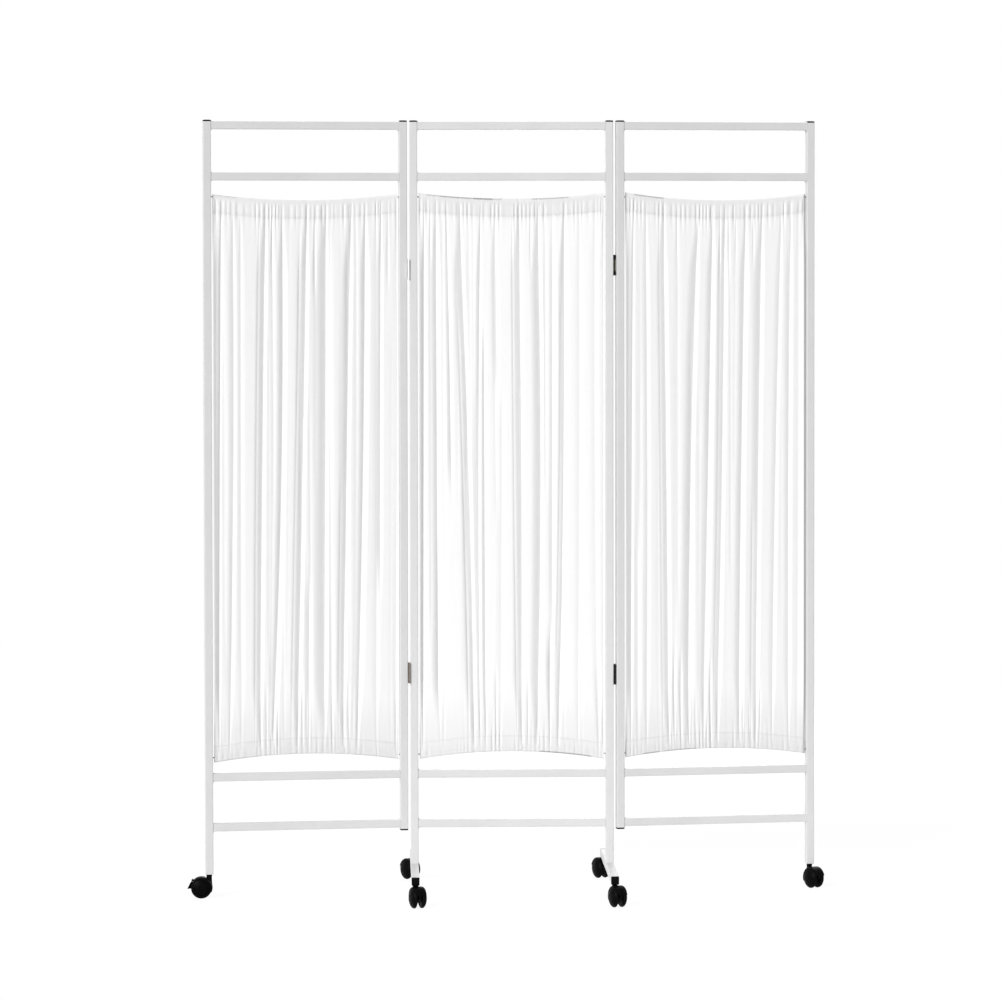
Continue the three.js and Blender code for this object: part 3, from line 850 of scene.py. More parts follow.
def screw_shapes(side, length):
    """Flush screw heads with a cross slot, on the face of the leaf that looks at the other leaf."""
    facing = spin(side * -pi / 2, "Y")
    depth = knuckle_radius + knuckle_gap + leaf_depth * screw_depth_share
    screw = [rod(screw_radius, 0, screw_height, small_round_steps, screw_height / 2)]
    screw += [moved(box(*screw_slot), spin(turn, "Z")) for turn in screw_slot_radians]
    shapes = []
    for height in (-length * screw_height_share, 0, length * screw_height_share):
        place = shift(side * leaf_inner_gap, depth, height) @ facing
        shapes += [moved(shape, place) for shape in screw]
    return combine(*shapes)


def add_hinges(side_name):
    pivot = joints[f"{side_name}_panel_fold"]["pos_m"]
    home = panels[0] if side_name == "left" else panels[2]
    half_turn = spin(0 if side_name == "left" else pi, "Z")
    panel_turn = home.place.to_3x3().to_4x4()
    for level in ("lower", "upper"):
        hinge = f"{side_name}_{level}_hinge"
        low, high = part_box(f"{hinge}_fixed_leaf")
        length = high.z - low.z
        stand = shift(pivot[0], pivot[1], (low.z + high.z) / 2)
        leaves = (
            ("fixed", 1, (-length / 3, length / 3), stand @ half_turn, "middle_panel"),
            ("moving", -1, (0,), stand @ panel_turn @ half_turn, home.body),
        )
        paint = leaf_paints[f"{side_name}_{level}"]
        for label, side, middles, place, body in leaves:
            node = f"{hinge}_{label}_leaf"
            shape = leaf_shape(side, middles, length)
            piece(f"{node}_plate", shape, place, body, paint, [node])
        for label, side, middles, place, body in leaves:
            shape = screw_shapes(side, length)
            piece(f"{hinge}_{label}_screws", shape, place, body, stem_paint)


# Wires and curtains

def wire_heights(level):
    """A wire's height at its middle and at its ends, and how far its ends reach."""
    low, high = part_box(f"middle_{level}_wire")
    reach = (high.x - low.x) / 2
    if level == "top":
        return low.z + wire_radius, high.z - ferrule_radius, reach
    return high.z - wire_radius, low.z + ferrule_radius, reach


def wire_height(level, x):
    middle, end, reach = wire_heights(level)
    share = x / (reach - ferrule_length / 2)
    return middle + (end - middle) * share * share


def add_wire(home, level):
    reach = wire_heights(level)[2]
    inner = reach - ferrule_length
    right_end = [(inner + ferrule_step, ferrule_radius), (reach - ferrule_edge, ferrule_radius)]
    right_end.append((reach, ferrule_radius - ferrule_edge))
    left_end = [(-x, radius) for x, radius in reversed(right_end)]
    between = [(x, wire_radius) for x in np.linspace(-inner, inner, wire_steps)]
    angles = circle(wire_sides)
    rings = []
    for x, radius in left_end + between + right_end:
        height = wire_height(level, x)
        rings.append(stack(x, radius * np.cos(angles), height + radius * np.sin(angles)))
    node = f"{home.name}_{level}_wire"
    shape = loft(rings)
    piece(f"{node}_sleeve", shape, home.place, home.body, wire_paint, [node], sharp_angle=50)


# How a kind of fold is shaped: the widths of the slopes down to its valley and up again, and its depth
Kind = namedtuple("Kind", "fall rise depth")
wide = Kind(0.034, 0.0065, 0.0100)
broad = Kind(0.024, 0.0065, 0.0082)
sharp = Kind(0.012, 0.0065, 0.0044)
soft = Kind(0.017, 0.0125, 0.0056)
mild = Kind(0.014, 0.009, 0.0030)
faint = Kind(0.014, 0.012, 0.0013)
crease = Kind(0.008, 0.006, 0.0027)
twin = Kind(0.006, 0.007, 0.0010)

# One fold: where it looks darkest at the header, half way down and at the hem, as shares of the width,
# its kind, and the shares of the height that it shows between, from the hem up
Fold = namedtuple("Fold", "top middle bottom kind first last", defaults=(-1, 2))


def straight(share, *rest):
    return Fold(share, share, share, *rest)


left_fold_shares = [
    Fold(0.043, 0.032, 0.024, crease),
    Fold(0.102, 0.102, 0.075, mild),
    Fold(0.278, 0.256, 0.240, broad),
    Fold(0.250, 0.228, 0.218, twin),
    Fold(0.367, 0.361, 0.305, soft),
    Fold(0.501, 0.474, 0.440, broad),
    Fold(0.472, 0.442, 0.412, twin),
    Fold(0.597, 0.593, 0.582, wide, 0.08),
    Fold(0.741, 0.712, 0.688, broad),
    Fold(0.710, 0.686, 0.668, twin, -1, 0.45),
    Fold(0.817, 0.803, 0.765, soft),
    Fold(0.906, 0.898, 0.895, sharp, 0.35),
    Fold(0.989, 0.989, 0.978, sharp),
    straight(0.318, crease, 0.90),
    straight(0.547, crease, 0.87),
    straight(0.943, crease, 0.88),
    Fold(0.143, 0.143, 0.140, faint),
    Fold(0.310, 0.315, 0.288, faint),
    Fold(0.625, 0.625, 0.630, faint),
    Fold(0.765, 0.765, 0.740, faint),
    Fold(0.876, 0.876, 0.870, faint),
    Fold(0.510, 0.510, 0.505, mild, -1, 0.28),
    straight(0.280, crease, -1, 0.08),
    straight(0.340, crease, -1, 0.06),
    straight(0.474, crease, -1, 0.10),
    straight(0.496, crease, -1, 0.07),
    straight(0.636, crease, -1, 0.06),
    straight(0.725, crease, -1, 0.08),
]
middle_fold_shares = [
    Fold(0.026, 0.021, 0.015, crease),
    Fold(0.084, 0.090, 0.095, soft, 0.12),
    Fold(0.142, 0.169, 0.169, sharp, 0.52),
    Fold(0.207, 0.259, 0.286, broad),
    Fold(0.185, 0.234, 0.267, twin, -1, 0.75),
    Fold(0.330, 0.317, 0.324, sharp),
    Fold(0.346, 0.349, 0.354, sharp, -1, 0.72),
    Fold(0.403, 0.420, 0.420, mild, 0.70),
    Fold(0.531, 0.545, 0.542, broad),
    Fold(0.501, 0.510, 0.526, twin),
    Fold(0.630, 0.649, 0.624, broad),
    Fold(0.703, 0.703, 0.700, sharp, -1, 0.18),
    Fold(0.777, 0.774, 0.741, soft),
    Fold(0.763, 0.757, 0.725, twin, 0.2, 0.8),
    Fold(0.992, 0.992, 0.990, sharp),
    straight(0.060, crease, 0.93),
    straight(0.600, crease, 0.92),
    straight(0.125, faint),
    Fold(0.440, 0.440, 0.430, faint, -1, 0.6),
    straight(0.712, faint, 0.3),
    Fold(0.860, 0.860, 0.850, faint),
    Fold(0.945, 0.945, 0.960, faint),
    straight(0.411, crease, -1, 0.10),
    straight(0.584, crease, -1, 0.08),
    straight(0.965, mild, -1, 0.12),
]
right_fold_shares = [
    Fold(0.044, 0.033, 0.028, crease),
    Fold(0.106, 0.117, 0.111, mild),
    Fold(0.203, 0.222, 0.233, broad),
    Fold(0.183, 0.194, 0.208, twin),
    Fold(0.283, 0.285, 0.285, faint, 0.3),
    Fold(0.267, 0.267, 0.268, sharp, -1, 0.14),
    straight(0.303, sharp, -1, 0.13),
    Fold(0.400, 0.357, 0.342, broad, -1, 0.93),
    Fold(0.480, 0.453, 0.425, soft, 0.06),
    Fold(0.544, 0.531, 0.500, broad),
    Fold(0.522, 0.511, 0.480, twin),
    Fold(0.664, 0.639, 0.625, soft),
    Fold(0.753, 0.733, 0.717, broad),
    Fold(0.730, 0.708, 0.697, twin, -1, 0.4),
    Fold(0.864, 0.830, 0.810, mild),
    Fold(0.917, 0.903, 0.903, mild),
    Fold(0.955, 0.955, 0.950, faint),
    straight(0.283, crease, 0.93),
    straight(0.522, crease, 0.90),
    straight(0.572, crease, 0.90),
    straight(0.611, crease, 0.94),
    straight(0.708, crease, 0.92),
    straight(0.385, crease, -1, 0.06),
    straight(0.469, sharp, -1, 0.12),
    straight(0.650, crease, -1, 0.07),
    straight(0.686, crease, -1, 0.05),
    straight(0.747, crease, -1, 0.07),
]
fold_tables = {"left": left_fold_shares, "middle": middle_fold_shares, "right": right_fold_shares}

# Where painted shade of the grey wire shows through the stretched edge: from and to, as shares of the width,
# and how strongly
top_wire_painted_shade_shares = {
    "left": [(0.0, 0.14, 0.2)],
    "middle": [(0.03, 0.46, 0.35), (0.10, 0.30, 0.58), (0.28, 0.41, 0.8), (0.60, 0.82, 0.4)],
    "right": [(0.04, 0.225, 0.5)],
}
bottom_wire_painted_shade_shares = {
    "left": [(0.0, 0.25, 0.12), (0.74, 1.0, 0.12)],
    "middle": [(0.64, 0.94, 0.6)],
    "right": [(0.09, 0.20, 0.5), (0.20, 0.41, 0.35)],
}


def smooth_step(low, high, value):
    share = np.clip((value - low) / (high - low), 0, 1)
    return share * share * (3 - 2 * share)


def through_three(bottom, middle, top, share):
    """The parabola through its values at the foot, the middle and the head of the curtain."""
    bow = bottom + top - 2 * middle
    lean = top - bottom
    centred = share - 0.5
    return middle + lean * centred + 2 * bow * centred * centred


def valley(offset, fall, rise):
    """How deep a fold's valley is beside its lowest line, from 0 to 1. Its bottom is slightly rounded."""
    away = np.where(offset < 0, -offset / fall, offset / rise)
    rounded = np.sqrt(away * away + fold_rounding_share ** 2) - fold_rounding_share
    return np.clip(1 - rounded, 0, 1) ** 2


class Drape:
    """Where the cloth of one curtain lies, from its place along the width and its height."""

    def __init__(self, home, seed):
        low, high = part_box("middle_curtain")
        self.half = (high.x - low.x) / 2
        self.random = np.random.default_rng(seed)
        self.gathers = round(2 * self.half / gather_pitch)
        self.phases = self.random.uniform(0, 2 * pi, 6)
        self.gather_sizes = self.random.uniform(0.0, 1.0, self.gathers + 3) ** 1.3
        self.fold_size = fold_size_factors[home.name]
        self.margins = {-1: top_margins[home.name], 1: bottom_margins[home.name]}
        self.folds = fold_tables[home.name] + [self.faint_fold() for index in range(faint_fold_count)]

    def faint_fold(self):
        """A shallow fold at a seeded place, which shows over part of the height."""
        place = self.random.uniform(0.02, 0.98)
        drift = self.random.uniform(-0.012, 0.012)
        size = self.random.uniform(0.2, 0.75)
        kind = Kind(faint.fall * self.random.uniform(0.4, 1.2), faint.rise, faint.depth * size)
        first = self.random.uniform(-0.4, 0.6)
        return Fold(place + drift, place, place - drift, kind, first, first + self.random.uniform(0.3, 1.0))

    def share(self, x):
        return (x + self.half) / (2 * self.half)

    def margin(self, x, inward):
        """How far the cloth reaches past a wire: the top one if inward is -1, the bottom one if it is 1."""
        return through_three(*self.margins[inward], self.share(x))

    def top(self, x):
        return wire_height("top", x) + self.margin(x, -1)

    def bottom(self, x):
        return wire_height("bottom", x) - self.margin(x, 1)

    def below_heading(self, x, height):
        """From 0 on the flat heading along the top edge to 1 where the gathers are full."""
        return smooth_step(heading_flat, heading_full, self.top(x) - height)

    def gather(self, x):
        """The header's small gathers, from -1 to 1, uneven in pitch and size."""
        share = self.share(x)
        wander = 0
        for k in range(5):
            wander = wander + gather_wander / (k + 1) * np.sin((2 * k + 3) * 2 * pi * share + self.phases[k])
        turns = self.gathers * share + wander
        size = np.interp(turns, np.arange(-1, self.gathers + 2), self.gather_sizes)
        return size * (np.cos(2 * pi * turns) + gather_second * np.cos(4 * pi * turns))

    def hem_gather(self, x):
        """The hem is drawn up around the ends of its folds, and lies smooth between them."""
        near = np.zeros_like(x)
        for fold in self.folds:
            if fold.kind in (crease, sharp) and fold.last < hem_fold_share:
                centre = (2 * fold.bottom - 1) * self.half
                near = np.maximum(near, np.exp(-(((x - centre) / hem_gather_reach) ** 2)))
        return hem_gather_share * self.gather(x) * (hem_gather_least + (1 - hem_gather_least) * near)

    def reach_from_seams(self, x, height):
        top_seam = self.top(x) - header_depth
        bottom_seam = self.bottom(x) + hem_depth
        return np.maximum(top_seam - height, 0), np.maximum(height - bottom_seam, 0)

    def fold_depth(self, x, height):
        """How far the folds carry the cloth back from its front plane."""
        share = (height - self.bottom(x)) / (self.top(x) - self.bottom(x))
        below_top, above_bottom = self.reach_from_seams(x, height)
        opened = smooth_step(0, fold_fade, below_top) * smooth_step(0, fold_fade, above_bottom)
        width = fold_seam_width_share + (1 - fold_seam_width_share) * opened
        size = fold_seam_depth_share + (1 - fold_seam_depth_share) * opened
        back = np.zeros_like(x)
        for fold in self.folds:
            darkest = (2 * through_three(fold.bottom, fold.middle, fold.top, share) - 1) * self.half
            centre = darkest + fold_lead_share * fold.kind.fall
            shown = smooth_step(fold.first - fold_end_outside, fold.first + fold_end_inside, share)
            ended = smooth_step(fold.last - fold_end_inside, fold.last + fold_end_outside, share)
            reach = fold.kind.fall * width
            size_here = fold.kind.depth * size * (shown * (1 - ended))
            back += size_here * valley(x - centre, reach, fold.kind.rise * width)
        curl = edge_curl * opened * np.exp(-(((self.half - np.abs(x)) / edge_curl_reach) ** 2))
        return self.fold_size * back - curl

    def middle_layer(self, x, height):
        """The cloth's middle surface, from back to front."""
        below_top, above_bottom = self.reach_from_seams(x, height)
        ripple = self.gather(x) * np.exp(-below_top / gather_fade) * self.below_heading(x, height)
        ripple = ripple + self.hem_gather(x) * np.exp(-above_bottom / gather_fade)
        in_pocket = (below_top == 0) | (above_bottom == 0)
        flat = np.where(in_pocket, fold_in_pocket_share, 1.0)
        centred = self.fold_depth(x, height) - fold_centre_depth
        return gather_depth * ripple + centred * flat


def curtain_row(drape, x, height, from_wire, way, puff=0.0):
    """One row of cloth. way is -1 on the front layer of a pocket, 1 on its back layer and 0 on the body.
    Near the wire inside it, a pocket's layer hugs the wire."""
    depth = drape.middle_layer(x, height)
    if way == 0:
        return x, depth, height
    near = np.exp(-((from_wire / wire_hug_reach) ** 2))
    wave = drape.gather(x) * drape.below_heading(x, height)
    hugging = way * (wire_radius + cloth_on_wire + gather_depth * (0.5 + 0.5 * way * wave))
    return x, (1 - near) * (depth + way * (cloth_gap + puff)) + near * hugging, height


def pocket_rows(drape, x, edge, inward, depth, way, shares):
    """The rows of one layer of a pocket. inward is -1 at the top edge and 1 at the bottom edge."""
    turn = wire_radius + cloth_on_wire
    rows = []
    for share in shares:
        distance = turn + (depth - turn) * share
        puff = pocket_puff * float(smooth_step(0, pocket_puff_reach, depth - distance))
        from_wire = distance - drape.margin(x, inward)
        rows.append(curtain_row(drape, x, edge + inward * distance, from_wire, way, puff))
    return rows


def curtain_rows(drape, x):
    """A curtain's rows along its cut length: up the header's back, down the front, up the hem's back."""
    top, bottom = drape.top(x), drape.bottom(x)
    turn = wire_radius + cloth_on_wire
    outward = list(reversed(pocket_row_shares))
    rows = pocket_rows(drape, x, top, -1, header_depth, 1, outward)
    rows += turned_rows(drape, x, top, turn, -1)
    rows += pocket_rows(drape, x, top, -1, header_depth, -1, pocket_row_shares)
    for share in np.linspace(0, 1, body_rows)[1:-1]:
        upper, lower = top - header_depth, bottom + hem_depth
        rows.append(curtain_row(drape, x, upper + (lower - upper) * share, None, 0))
    rows += pocket_rows(drape, x, bottom, 1, hem_depth, -1, outward)
    rows += turned_rows(drape, x, bottom, turn, 1)
    rows += pocket_rows(drape, x, bottom, 1, hem_depth, 1, pocket_row_shares)
    return np.array([stack(*row) for row in rows])


def turned_rows(drape, x, edge, turn, inward):
    """The rows around the outer edge of a pocket. inward is -1 at the top edge and 1 at the bottom edge."""
    level = edge + inward * turn
    from_wire = turn - drape.margin(x, inward)
    place, back, _ = curtain_row(drape, x, level, from_wire, 1)
    front = curtain_row(drape, x, level, from_wire, -1)[1]
    rows = []
    for step in range(1, turn_rows):
        angle = step / turn_rows * pi
        swing = cos(angle) * (1 if inward < 0 else -1)
        depth = (back + front) / 2 + (back - front) / 2 * swing
        rows.append((place, depth, level - inward * turn * sin(angle)))
    return rows


def cloth_metres(rows):
    """Flat-cloth coordinates: the mean length along the rows and along the columns."""
    across = np.linalg.norm(np.diff(rows, axis=1), axis=2).mean(axis=0)
    along = np.linalg.norm(np.diff(rows, axis=0), axis=2).mean(axis=1)
    return np.concatenate([[0], np.cumsum(across)]), np.concatenate([[0], np.cumsum(along)])


def add_cloth_map(mesh, rows, columns, across, along):
    layer = mesh.uv_layers.new(name="cloth_metres")
    corners = np.empty(len(mesh.loops), np.int32)
    mesh.loops.foreach_get("vertex_index", corners)
    flat = np.column_stack([across[corners % columns], along[corners // columns]])
    layer.data.foreach_set("uv", flat.ravel())


def spans(share, table):
    """How strongly a painted line of shade along an edge shows at each share of the width."""
    strength = np.zeros_like(share)
    for start, end, most in table:
        begun = smooth_step(start, start + line_fade_share, share)
        strength = np.maximum(strength, most * begun * smooth_step(end, end - line_fade_share, share))
    return strength


def add_grey_with_painted_light_and_shade(mesh, home, drape, rows):
    """Marks how grey the cloth is: in its header, where each panel's greys are painted light, and towards its
    hem, at its seams, with painted shade where the wire shows through its edges, and with painted shade along
    the right curtain's outer edge in the corner beside the right outer upright."""
    x, height = rows[0, :, 0], rows[:, :, 2]
    share = drape.share(x)
    above_hem = height - (drape.bottom(x) + hem_depth)
    towards_hem = hem_grey * smooth_step(hem_grey_reach, 0, above_hem)
    marks = [np.where(above_hem < -hem_pocket_start, hem_pocket_grey, towards_hem)]
    from_seam = height - (drape.top(x) - header_depth)
    marks.append(seam_grey * np.exp(-((from_seam / seam_grey_reach) ** 2)))
    # Painted shade of the wire along the top and bottom edges
    for edge, table in ((drape.top(x), top_wire_painted_shade_shares), (drape.bottom(x), bottom_wire_painted_shade_shares)):
        beside = np.abs(height - edge) / edge_line_reach
        marks.append(spans(share, table[home.name]) * np.exp(-(beside ** 4)))
    # Painted shade along the right curtain's outer edge, in the corner beside the upright
    if home.name == "right":
        edge_shade = selvedge_painted_shade * smooth_step(drape.half - 2 * selvedge_shade_width, drape.half, x)
        marks.append(np.broadcast_to(edge_shade, height.shape))
    # Each panel's header greys are painted light
    edge_painted_light_grey, seam_side_painted_light_grey = header_painted_light_greys[home.name]
    header_painted_light_grey = seam_side_painted_light_grey + (edge_painted_light_grey - seam_side_painted_light_grey) * np.clip(from_seam / header_depth, 0, 1)
    plain = body_grey + (header_painted_light_grey - body_grey) * smooth_step(-seam_blur, seam_blur, from_seam)
    layer = mesh.attributes.new("grey_with_painted_light_and_shade", "FLOAT", "POINT")
    layer.data.foreach_set("value", (1 - (1 - np.max(marks, axis=0)) * (1 - plain)).ravel())


def stitches(line):
    """Short threads along a line of points, end to end with small gaps."""
    lengths = lengths_along(line)
    angles = circle(stitch_sides)
    across = stack(0.0, np.cos(angles), np.sin(angles))
    shapes = []
    for start in np.arange(stitch_pitch / 2, lengths[-1] - stitch_pitch, stitch_pitch):
        rings = []
        for share, girth in ((0, 0.5), (0.25, 1), (0.75, 1), (1, 0.5)):
            place = start + share * stitch_length
            centre = np.array([np.interp(place, lengths, line[:, axis]) for axis in range(3)])
            rings.append(centre + stitch_radius * girth * across)
        shapes.append(loft(rings))
    return shapes


def add_stitches(home, rows):
    header_front = 2 * len(pocket_row_shares) + turn_rows - 2
    hem_front = header_front + body_rows - 1
    shapes = []
    for row, way in ((0, 1), (header_front, -1), (hem_front, -1), (len(rows) - 1, 1)):
        line = rows[row] + np.array([0, way * stitch_lift, 0])
        shapes += stitches(line)
    name = f"{home.name}_curtain_stitches"
    return piece(name, combine(*shapes), home.place, home.body, thread_paint, sharp_angle=70)


def add_curtain(home, seed):
    drape = Drape(home, seed)
    x = np.linspace(-drape.half, drape.half, curtain_columns)
    rows = curtain_rows(drape, x)
    count, columns = rows.shape[:2]
    across, along = cloth_metres(rows)
    name = f"{home.name}_curtain_cloth"
    mesh = bpy.data.meshes.new(name)
    mesh.from_pydata(rows.reshape(-1, 3).tolist(), [], grid_faces(count, columns, False, False))
    add_cloth_map(mesh, count, columns, across, along)
    add_grey_with_painted_light_and_shade(mesh, home, drape, rows)
    mesh.polygons.foreach_set("use_smooth", [True] * len(mesh.polygons))
    mesh.materials.append(cloth_paint)
    cloth = link(name, mesh)
    cloth.matrix_world = home.place
    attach(cloth, home.body)
    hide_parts(f"{home.name}_curtain")
    threads = add_stitches(home, rows)


# Casters

def caster_place(prefix):
    """The caster's own frame: its stem on Z, its wheels behind it along -X."""
    stem = joints[f"{prefix}_swivel_turn"]["pos_m"]
    axle = joints[f"{prefix}_wheel_spin"]["pos_m"]
    turn = atan2(stem[1] - axle[1], stem[0] - axle[0])
    offset = hypot(stem[0] - axle[0], stem[1] - axle[1])
    return shift(stem[0], stem[1], 0) @ spin(turn, "Z"), offset


def axle_frame(offset):
    """Turns a shape made around Z into one around the axle."""
    return shift(-offset, 0, wheel_radius) @ spin(-pi / 2, "X")


def dome_width(radius):
    """How far the wheel's domed cover stands from the middle plane at a radius."""
    reach = wheel_outer_face - wheel_dome_start
    return wheel_dome_start + reach * sqrt(1 - (radius / wheel_radius) ** 2)


def wheel_profile():
    """One wheel, from axle to tread and back over its domed cover, which has a ring groove and a hub."""
    inner, tread = wheel_inner_face, wheel_radius
    recess = inner + wheel_recess_depth
    points = [(0, inner), (0.0085, inner), (0.0095, recess), (0.0185, recess), (0.0196, inner)]
    inward, across = wheel_bevel
    for angle in np.radians(np.linspace(0, 90, 7)):
        points.append((tread - inward * (1 - sin(angle)), inner + across * (1 - cos(angle))))
    for angle in np.linspace(0, wheel_groove_radians, wheel_dome_steps):
        radius = tread * cos(angle)
        points.append((radius, dome_width(radius)))
    for share in (0.98, 0.93):
        radius = tread * cos(wheel_groove_radians) * share
        points.append((radius, dome_width(radius) - wheel_groove_depth))
    points += [(radius, dome_width(radius)) for radius in (0.0154, 0.0136, 0.0116, 0.0096, 0.0078)]
    hub = dome_width(0.0070)
    groove = hub - wheel_hub_groove_depth
    return points + [(0.0070, hub), (0.0066, groove), (0.0056, groove), (0.0052, hub), (0, hub)]


def add_wheels(prefix, place, offset):
    one = lathe(wheel_profile(), wheel_steps)
    other = moved(one, spin(pi, "X"))
    axle_half = wheel_inner_face + axle_in_wheel
    axle = rod(axle_radius, -axle_half, axle_half, axle_steps)
    at_axle = place @ axle_frame(offset)
    shape = combine(one, other, axle)
    node = f"{prefix}_caster_wheels"
    body = f"{prefix}_rolling"
    piece(f"{node}_pair", shape, at_axle, body, wheel_paint, [node], sharp_angle=45)


def hood_edge(clearance):
    """Half of a section that keeps a distance from the wheel's tread and dome, as (radius, width) points."""
    outer_reach = wheel_outer_face - wheel_dome_start + hood_gap + hood_wall
    end = asin((hood_half_width - wheel_dome_start) / outer_reach)
    reach = wheel_outer_face - wheel_dome_start + clearance
    points = []
    for step in range(hood_section_steps):
        angle = end * step / (hood_section_steps - 1)
        width = wheel_dome_start + reach * sin(angle)
        points.append(((wheel_radius + clearance) * cos(angle), width))
    return points


def hood(rear_angle):
    """The shell over the wheels: its section, as (radius, width) points, swept about the axle."""
    outer = hood_edge(hood_gap + hood_wall)
    inner = hood_edge(hood_gap)
    outside = [(radius, -width) for radius, width in reversed(outer)] + outer
    inside = list(reversed(inner)) + [(radius, -width) for radius, width in inner]
    radius, width = np.array(outside + inside).T
    angles = np.radians(np.linspace(hood_front_angle, rear_angle, hood_steps))
    return loft([stack(radius * cos(angle), width, radius * sin(angle)) for angle in angles])


def web(rear_angle, taper_angle):
    """The plate between the wheels: full under the hood, narrowing to a boss around the axle."""
    middle = wheel_radius + hood_gap + hood_wall / 2
    outline = []
    for angle in np.linspace(0, 360, web_steps, endpoint=False):
        past_front = (hood_front_angle - angle) % 360
        past_rear = (angle - rear_angle) % 360
        inside = (angle - hood_front_angle) % 360 <= rear_angle - hood_front_angle
        gap = 0 if inside else min(past_front, past_rear)
        drop = smooth_step(0, taper_angle, np.array(float(gap)))
        outline.append((middle + (hub_radius - middle) * float(drop), radians(angle)))
    rings = []
    for width in (-web_half_thickness, web_half_thickness):
        rings.append([(radius * cos(angle), width, radius * sin(angle)) for radius, angle in outline])
    return loft(rings)


def neck(offset, seat):
    """The socket of the stem: a round neck that flares down onto the hood, with a collar at its top."""
    hood_top = wheel_radius + hood_gap + hood_wall * neck_sunk_share
    angles = circle(neck_steps)
    from_axle = offset + neck_flare_radius * np.cos(angles)
    draped = wheel_radius + np.sqrt(np.maximum(hood_top ** 2 - from_axle ** 2, 0))
    shoulder = wheel_radius + hood_top * neck_shoulder_share
    profile = [(neck_flare_radius, draped)]
    for share in neck_flare_shares:
        radius = neck_flare_radius + (neck_radius - neck_flare_radius) * share ** neck_flare_power
        profile.append((radius, draped + (shoulder - draped) * share))
    top = seat - seat_gap
    collar = top - collar_height
    profile += [(neck_radius, shoulder), (neck_radius, collar), (collar_radius, collar + 0.0006)]
    profile += [(collar_radius, top - collar_edge), (collar_radius - collar_edge, top)]
    across, along = np.cos(angles), np.sin(angles)
    return loft([stack(radius * across, radius * along, height) for radius, height in profile])


def add_caster_body(prefix, place, offset, seat, rear_angle, taper_angle):
    at_wheels = shift(-offset, 0, wheel_radius)
    shape = combine(
        moved(hood(rear_angle), at_wheels),
        moved(web(rear_angle, taper_angle), at_wheels),
        neck(offset, seat),
    )
    node = f"{prefix}_caster_body"
    body = f"{prefix}_swivel"
    piece(f"{node}_shell", shape, place, body, caster_paint, [node], moulding_edge, 42)
    stem = rod(stem_radius, seat - seat_gap - stem_in_socket, seat + stem_length, round_steps, stem_edge)
    piece(f"{prefix}_caster_stem", stem, place, body, stem_paint)


def pedal_rib(offset):
    """The rib under the pedal's toe, which reaches in between the two wheels."""
    rings = []
    for share in np.linspace(0, 1, pedal_steps):
        turn = radians(pedal_rib_angle + (pedal_toe_angle - 1 - pedal_rib_angle) * share)
        outer = pedal_radius + pedal_rib_lift * share * share
        inner = pedal_rib_inner + (pedal_rib_toe_inner - pedal_rib_inner) * share
        ring = []
        for radius, width in ((inner, -1), (inner, 1), (outer, 1), (outer, -1)):
            across = width * pedal_rib_half_width
            ring.append((radius * cos(turn) - offset, across, wheel_radius + radius * sin(turn)))
        rings.append(ring)
    return loft(rings)


def add_pedal(prefix, place, offset):
    """The brake pedal, drawn against the wheels and then lifted about its pin."""
    joint = joints[f"{prefix}_brake_press"]
    pivot = place.inverted() @ Vector(joint["pos_m"])
    travel = radians(joint["range_deg"][1])
    start = degrees(atan2(pivot.z - wheel_radius, pivot.x + offset))
    toe_start = pedal_end_angle - pedal_toe_start
    corner = pedal_thickness * pedal_corner_share
    thickness, width = rounded_square(pedal_thickness, pedal_width, corner, 3).T
    rings = []
    for angle in np.linspace(start, pedal_toe_angle, pedal_steps):
        toe = max(0.0, angle - toe_start) / (pedal_toe_angle - toe_start)
        radius = pedal_radius + pedal_toe_lift * toe * toe
        widen = 1 + pedal_toe_widening * toe
        turn = radians(angle)
        reach = radius + thickness
        rings.append(stack(-offset + reach * cos(turn), width * widen, wheel_radius + reach * sin(turn)))
    rib = pedal_rib(offset)
    at_pin = shift(pivot.x, 0, pivot.z) @ spin(pi / 2, "X")
    half = pedal_width / 2
    barrel = moved(rod(pedal_barrel_radius, -half, half, small_round_steps, pedal_edge), at_pin)
    lift = shift(*pivot) @ spin(travel, "Y") @ shift(*-pivot)
    shape = moved(combine(loft(rings), rib, barrel), lift)
    node = f"{prefix}_caster_brake_pedal"
    body = f"{prefix}_brake"
    piece(f"{node}_moulding", shape, place, body, caster_paint, [node], pedal_edge, 42)


def add_casters():
    foot_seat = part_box("middle_left_upright_and_foot")[0].z
    outer_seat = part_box("left_outer_upright")[0].z
    seats = {f"{side}_foot_{end}": foot_seat for side in ("left", "right") for end in ("front", "rear")}
    seats.update(left_outer=outer_seat, right_outer=outer_seat)
    for prefix, seat in seats.items():
        place, offset = caster_place(prefix)
        braked = prefix == "left_outer"
        rear_angle = braked_rear_angle if braked else hood_rear_angle
        taper_angle = braked_web_taper_angle if braked else web_taper_angle
        add_wheels(prefix, place, offset)
        add_caster_body(prefix, place, offset, seat, rear_angle, taper_angle)
        if braked:
            add_pedal(prefix, place, offset)


# Stage

def add_floor():
    """A pale floor, which rays from the camera see as nearly plain white with the object's faint shadow."""
    bpy.ops.mesh.primitive_plane_add(size=floor_size)
    floor = bpy.context.object
    floor.name = "floor"
    paint = Paint("floor_pale", grey(0.86), 0.9)
    share = paint.calc("MULTIPLY", paint.seen(), floor_seen_share)
    glow = paint.add("Emission", "Emission", {"Color": white, "Strength": floor_seen_strength})
    paint.show(paint.mixed(share, paint.shader.outputs["BSDF"], glow))
    floor.data.materials.append(paint.material)


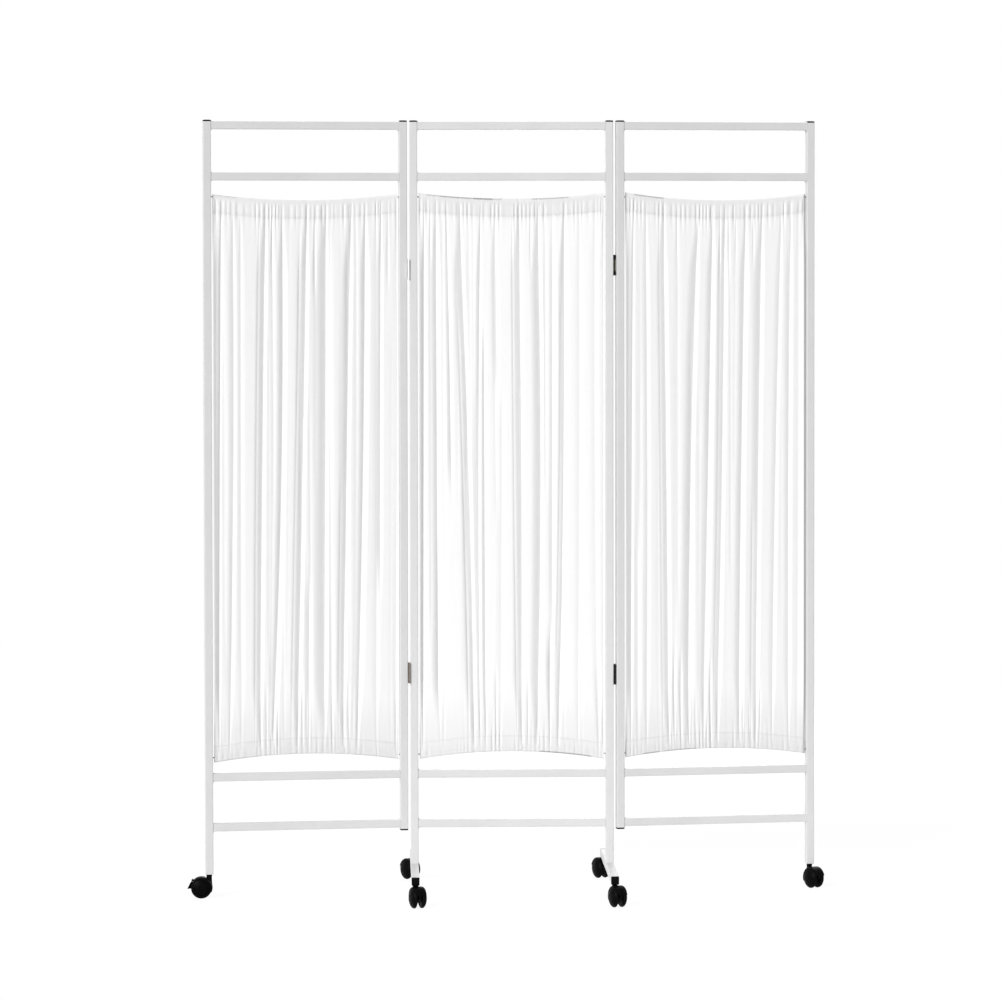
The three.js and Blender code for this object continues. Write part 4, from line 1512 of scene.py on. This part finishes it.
def add_world():
    """Even light from all around, which rays from the camera see as plain white."""
    world = bpy.data.worlds.new("studio")
    bpy.context.scene.world = world
    world.use_nodes = True
    sky = Nodes(world.node_tree)
    sky.tree.nodes.clear()
    lit = sky.add("Background", "Background", {"Color": white, "Strength": world_strength})
    plain = sky.add("Background", "Background", {"Color": white})
    output = sky.tree.nodes.new("ShaderNodeOutputWorld")
    sky.plug(output, {"Surface": sky.mixed(sky.seen(), lit, plain)})


def add_key():
    """A broad, even light from the left front."""
    light = bpy.data.lights.new("key", "SUN")
    light.energy = key_strength
    light.angle = radians(key_spread)
    left, above = radians(key_from_left), radians(key_from_above)
    source = Vector((-sin(left) * cos(above), -cos(left) * cos(above), sin(above)))
    link("key", light).rotation_euler = source.to_track_quat("Z", "Y").to_euler()


def add_softbox():
    """A large soft light behind the screen, which comes through the cloth."""
    light = bpy.data.lights.new("back", "AREA")
    light.shape = "RECTANGLE"
    light.size, light.size_y = softbox_size
    light.energy = softbox_power
    lamp = link("back", light)
    lamp.location = softbox_place
    lamp.rotation_euler = (softbox_target - softbox_place).to_track_quat("-Z", "Y").to_euler()


def add_camera():
    centre = panels[1].place.translation
    turn, pitch, roll = (radians(angle) for angle in (camera_turn, camera_pitch, camera_roll))
    right = Vector((cos(turn), -sin(turn), 0))
    ahead = Vector((sin(turn), cos(turn), 0))
    up = Vector((0, 0, 1))
    place = centre + right * camera_aside - ahead * camera_distance + up * camera_height
    forward = ahead * cos(pitch) - up * sin(pitch)
    upward = up * cos(pitch) + ahead * sin(pitch)
    across = right * cos(roll) + upward * sin(roll)
    upward = upward * cos(roll) - right * sin(roll)
    view = bpy.data.cameras.new("camera")
    view.sensor_fit = "HORIZONTAL"
    view.sensor_width = camera_sensor
    view.lens = camera_lens
    view.shift_y = camera_shift
    view.clip_end = 100
    camera = link("camera", view)
    axes = Matrix((across, upward, -forward)).transposed().to_4x4()
    camera.matrix_world = shift(*place) @ axes
    bpy.context.scene.camera = camera


# The whole scene

for home in panels:
    add_rails(home)
    add_rail_welds(home)
    add_panel_caps(home)
    for level in ("top", "bottom"):
        add_wire(home, level)
for seed, home in enumerate(panels):
    add_curtain(home, seed + first_seed)
for home in (panels[0], panels[2]):
    for side, prefix in zip((-1, 1), panel_ends[home.name]):
        add_upright(home, f"{prefix}_upright", side)
add_foot(panels[1], "left", -1)
add_foot(panels[1], "right", 1)
add_foot_caps(panels[1])
add_hinges("left")
add_hinges("right")
add_casters()
add_floor()
add_world()
add_key()
add_softbox()
add_camera()
bpy.context.scene.view_settings.view_transform = "Standard"
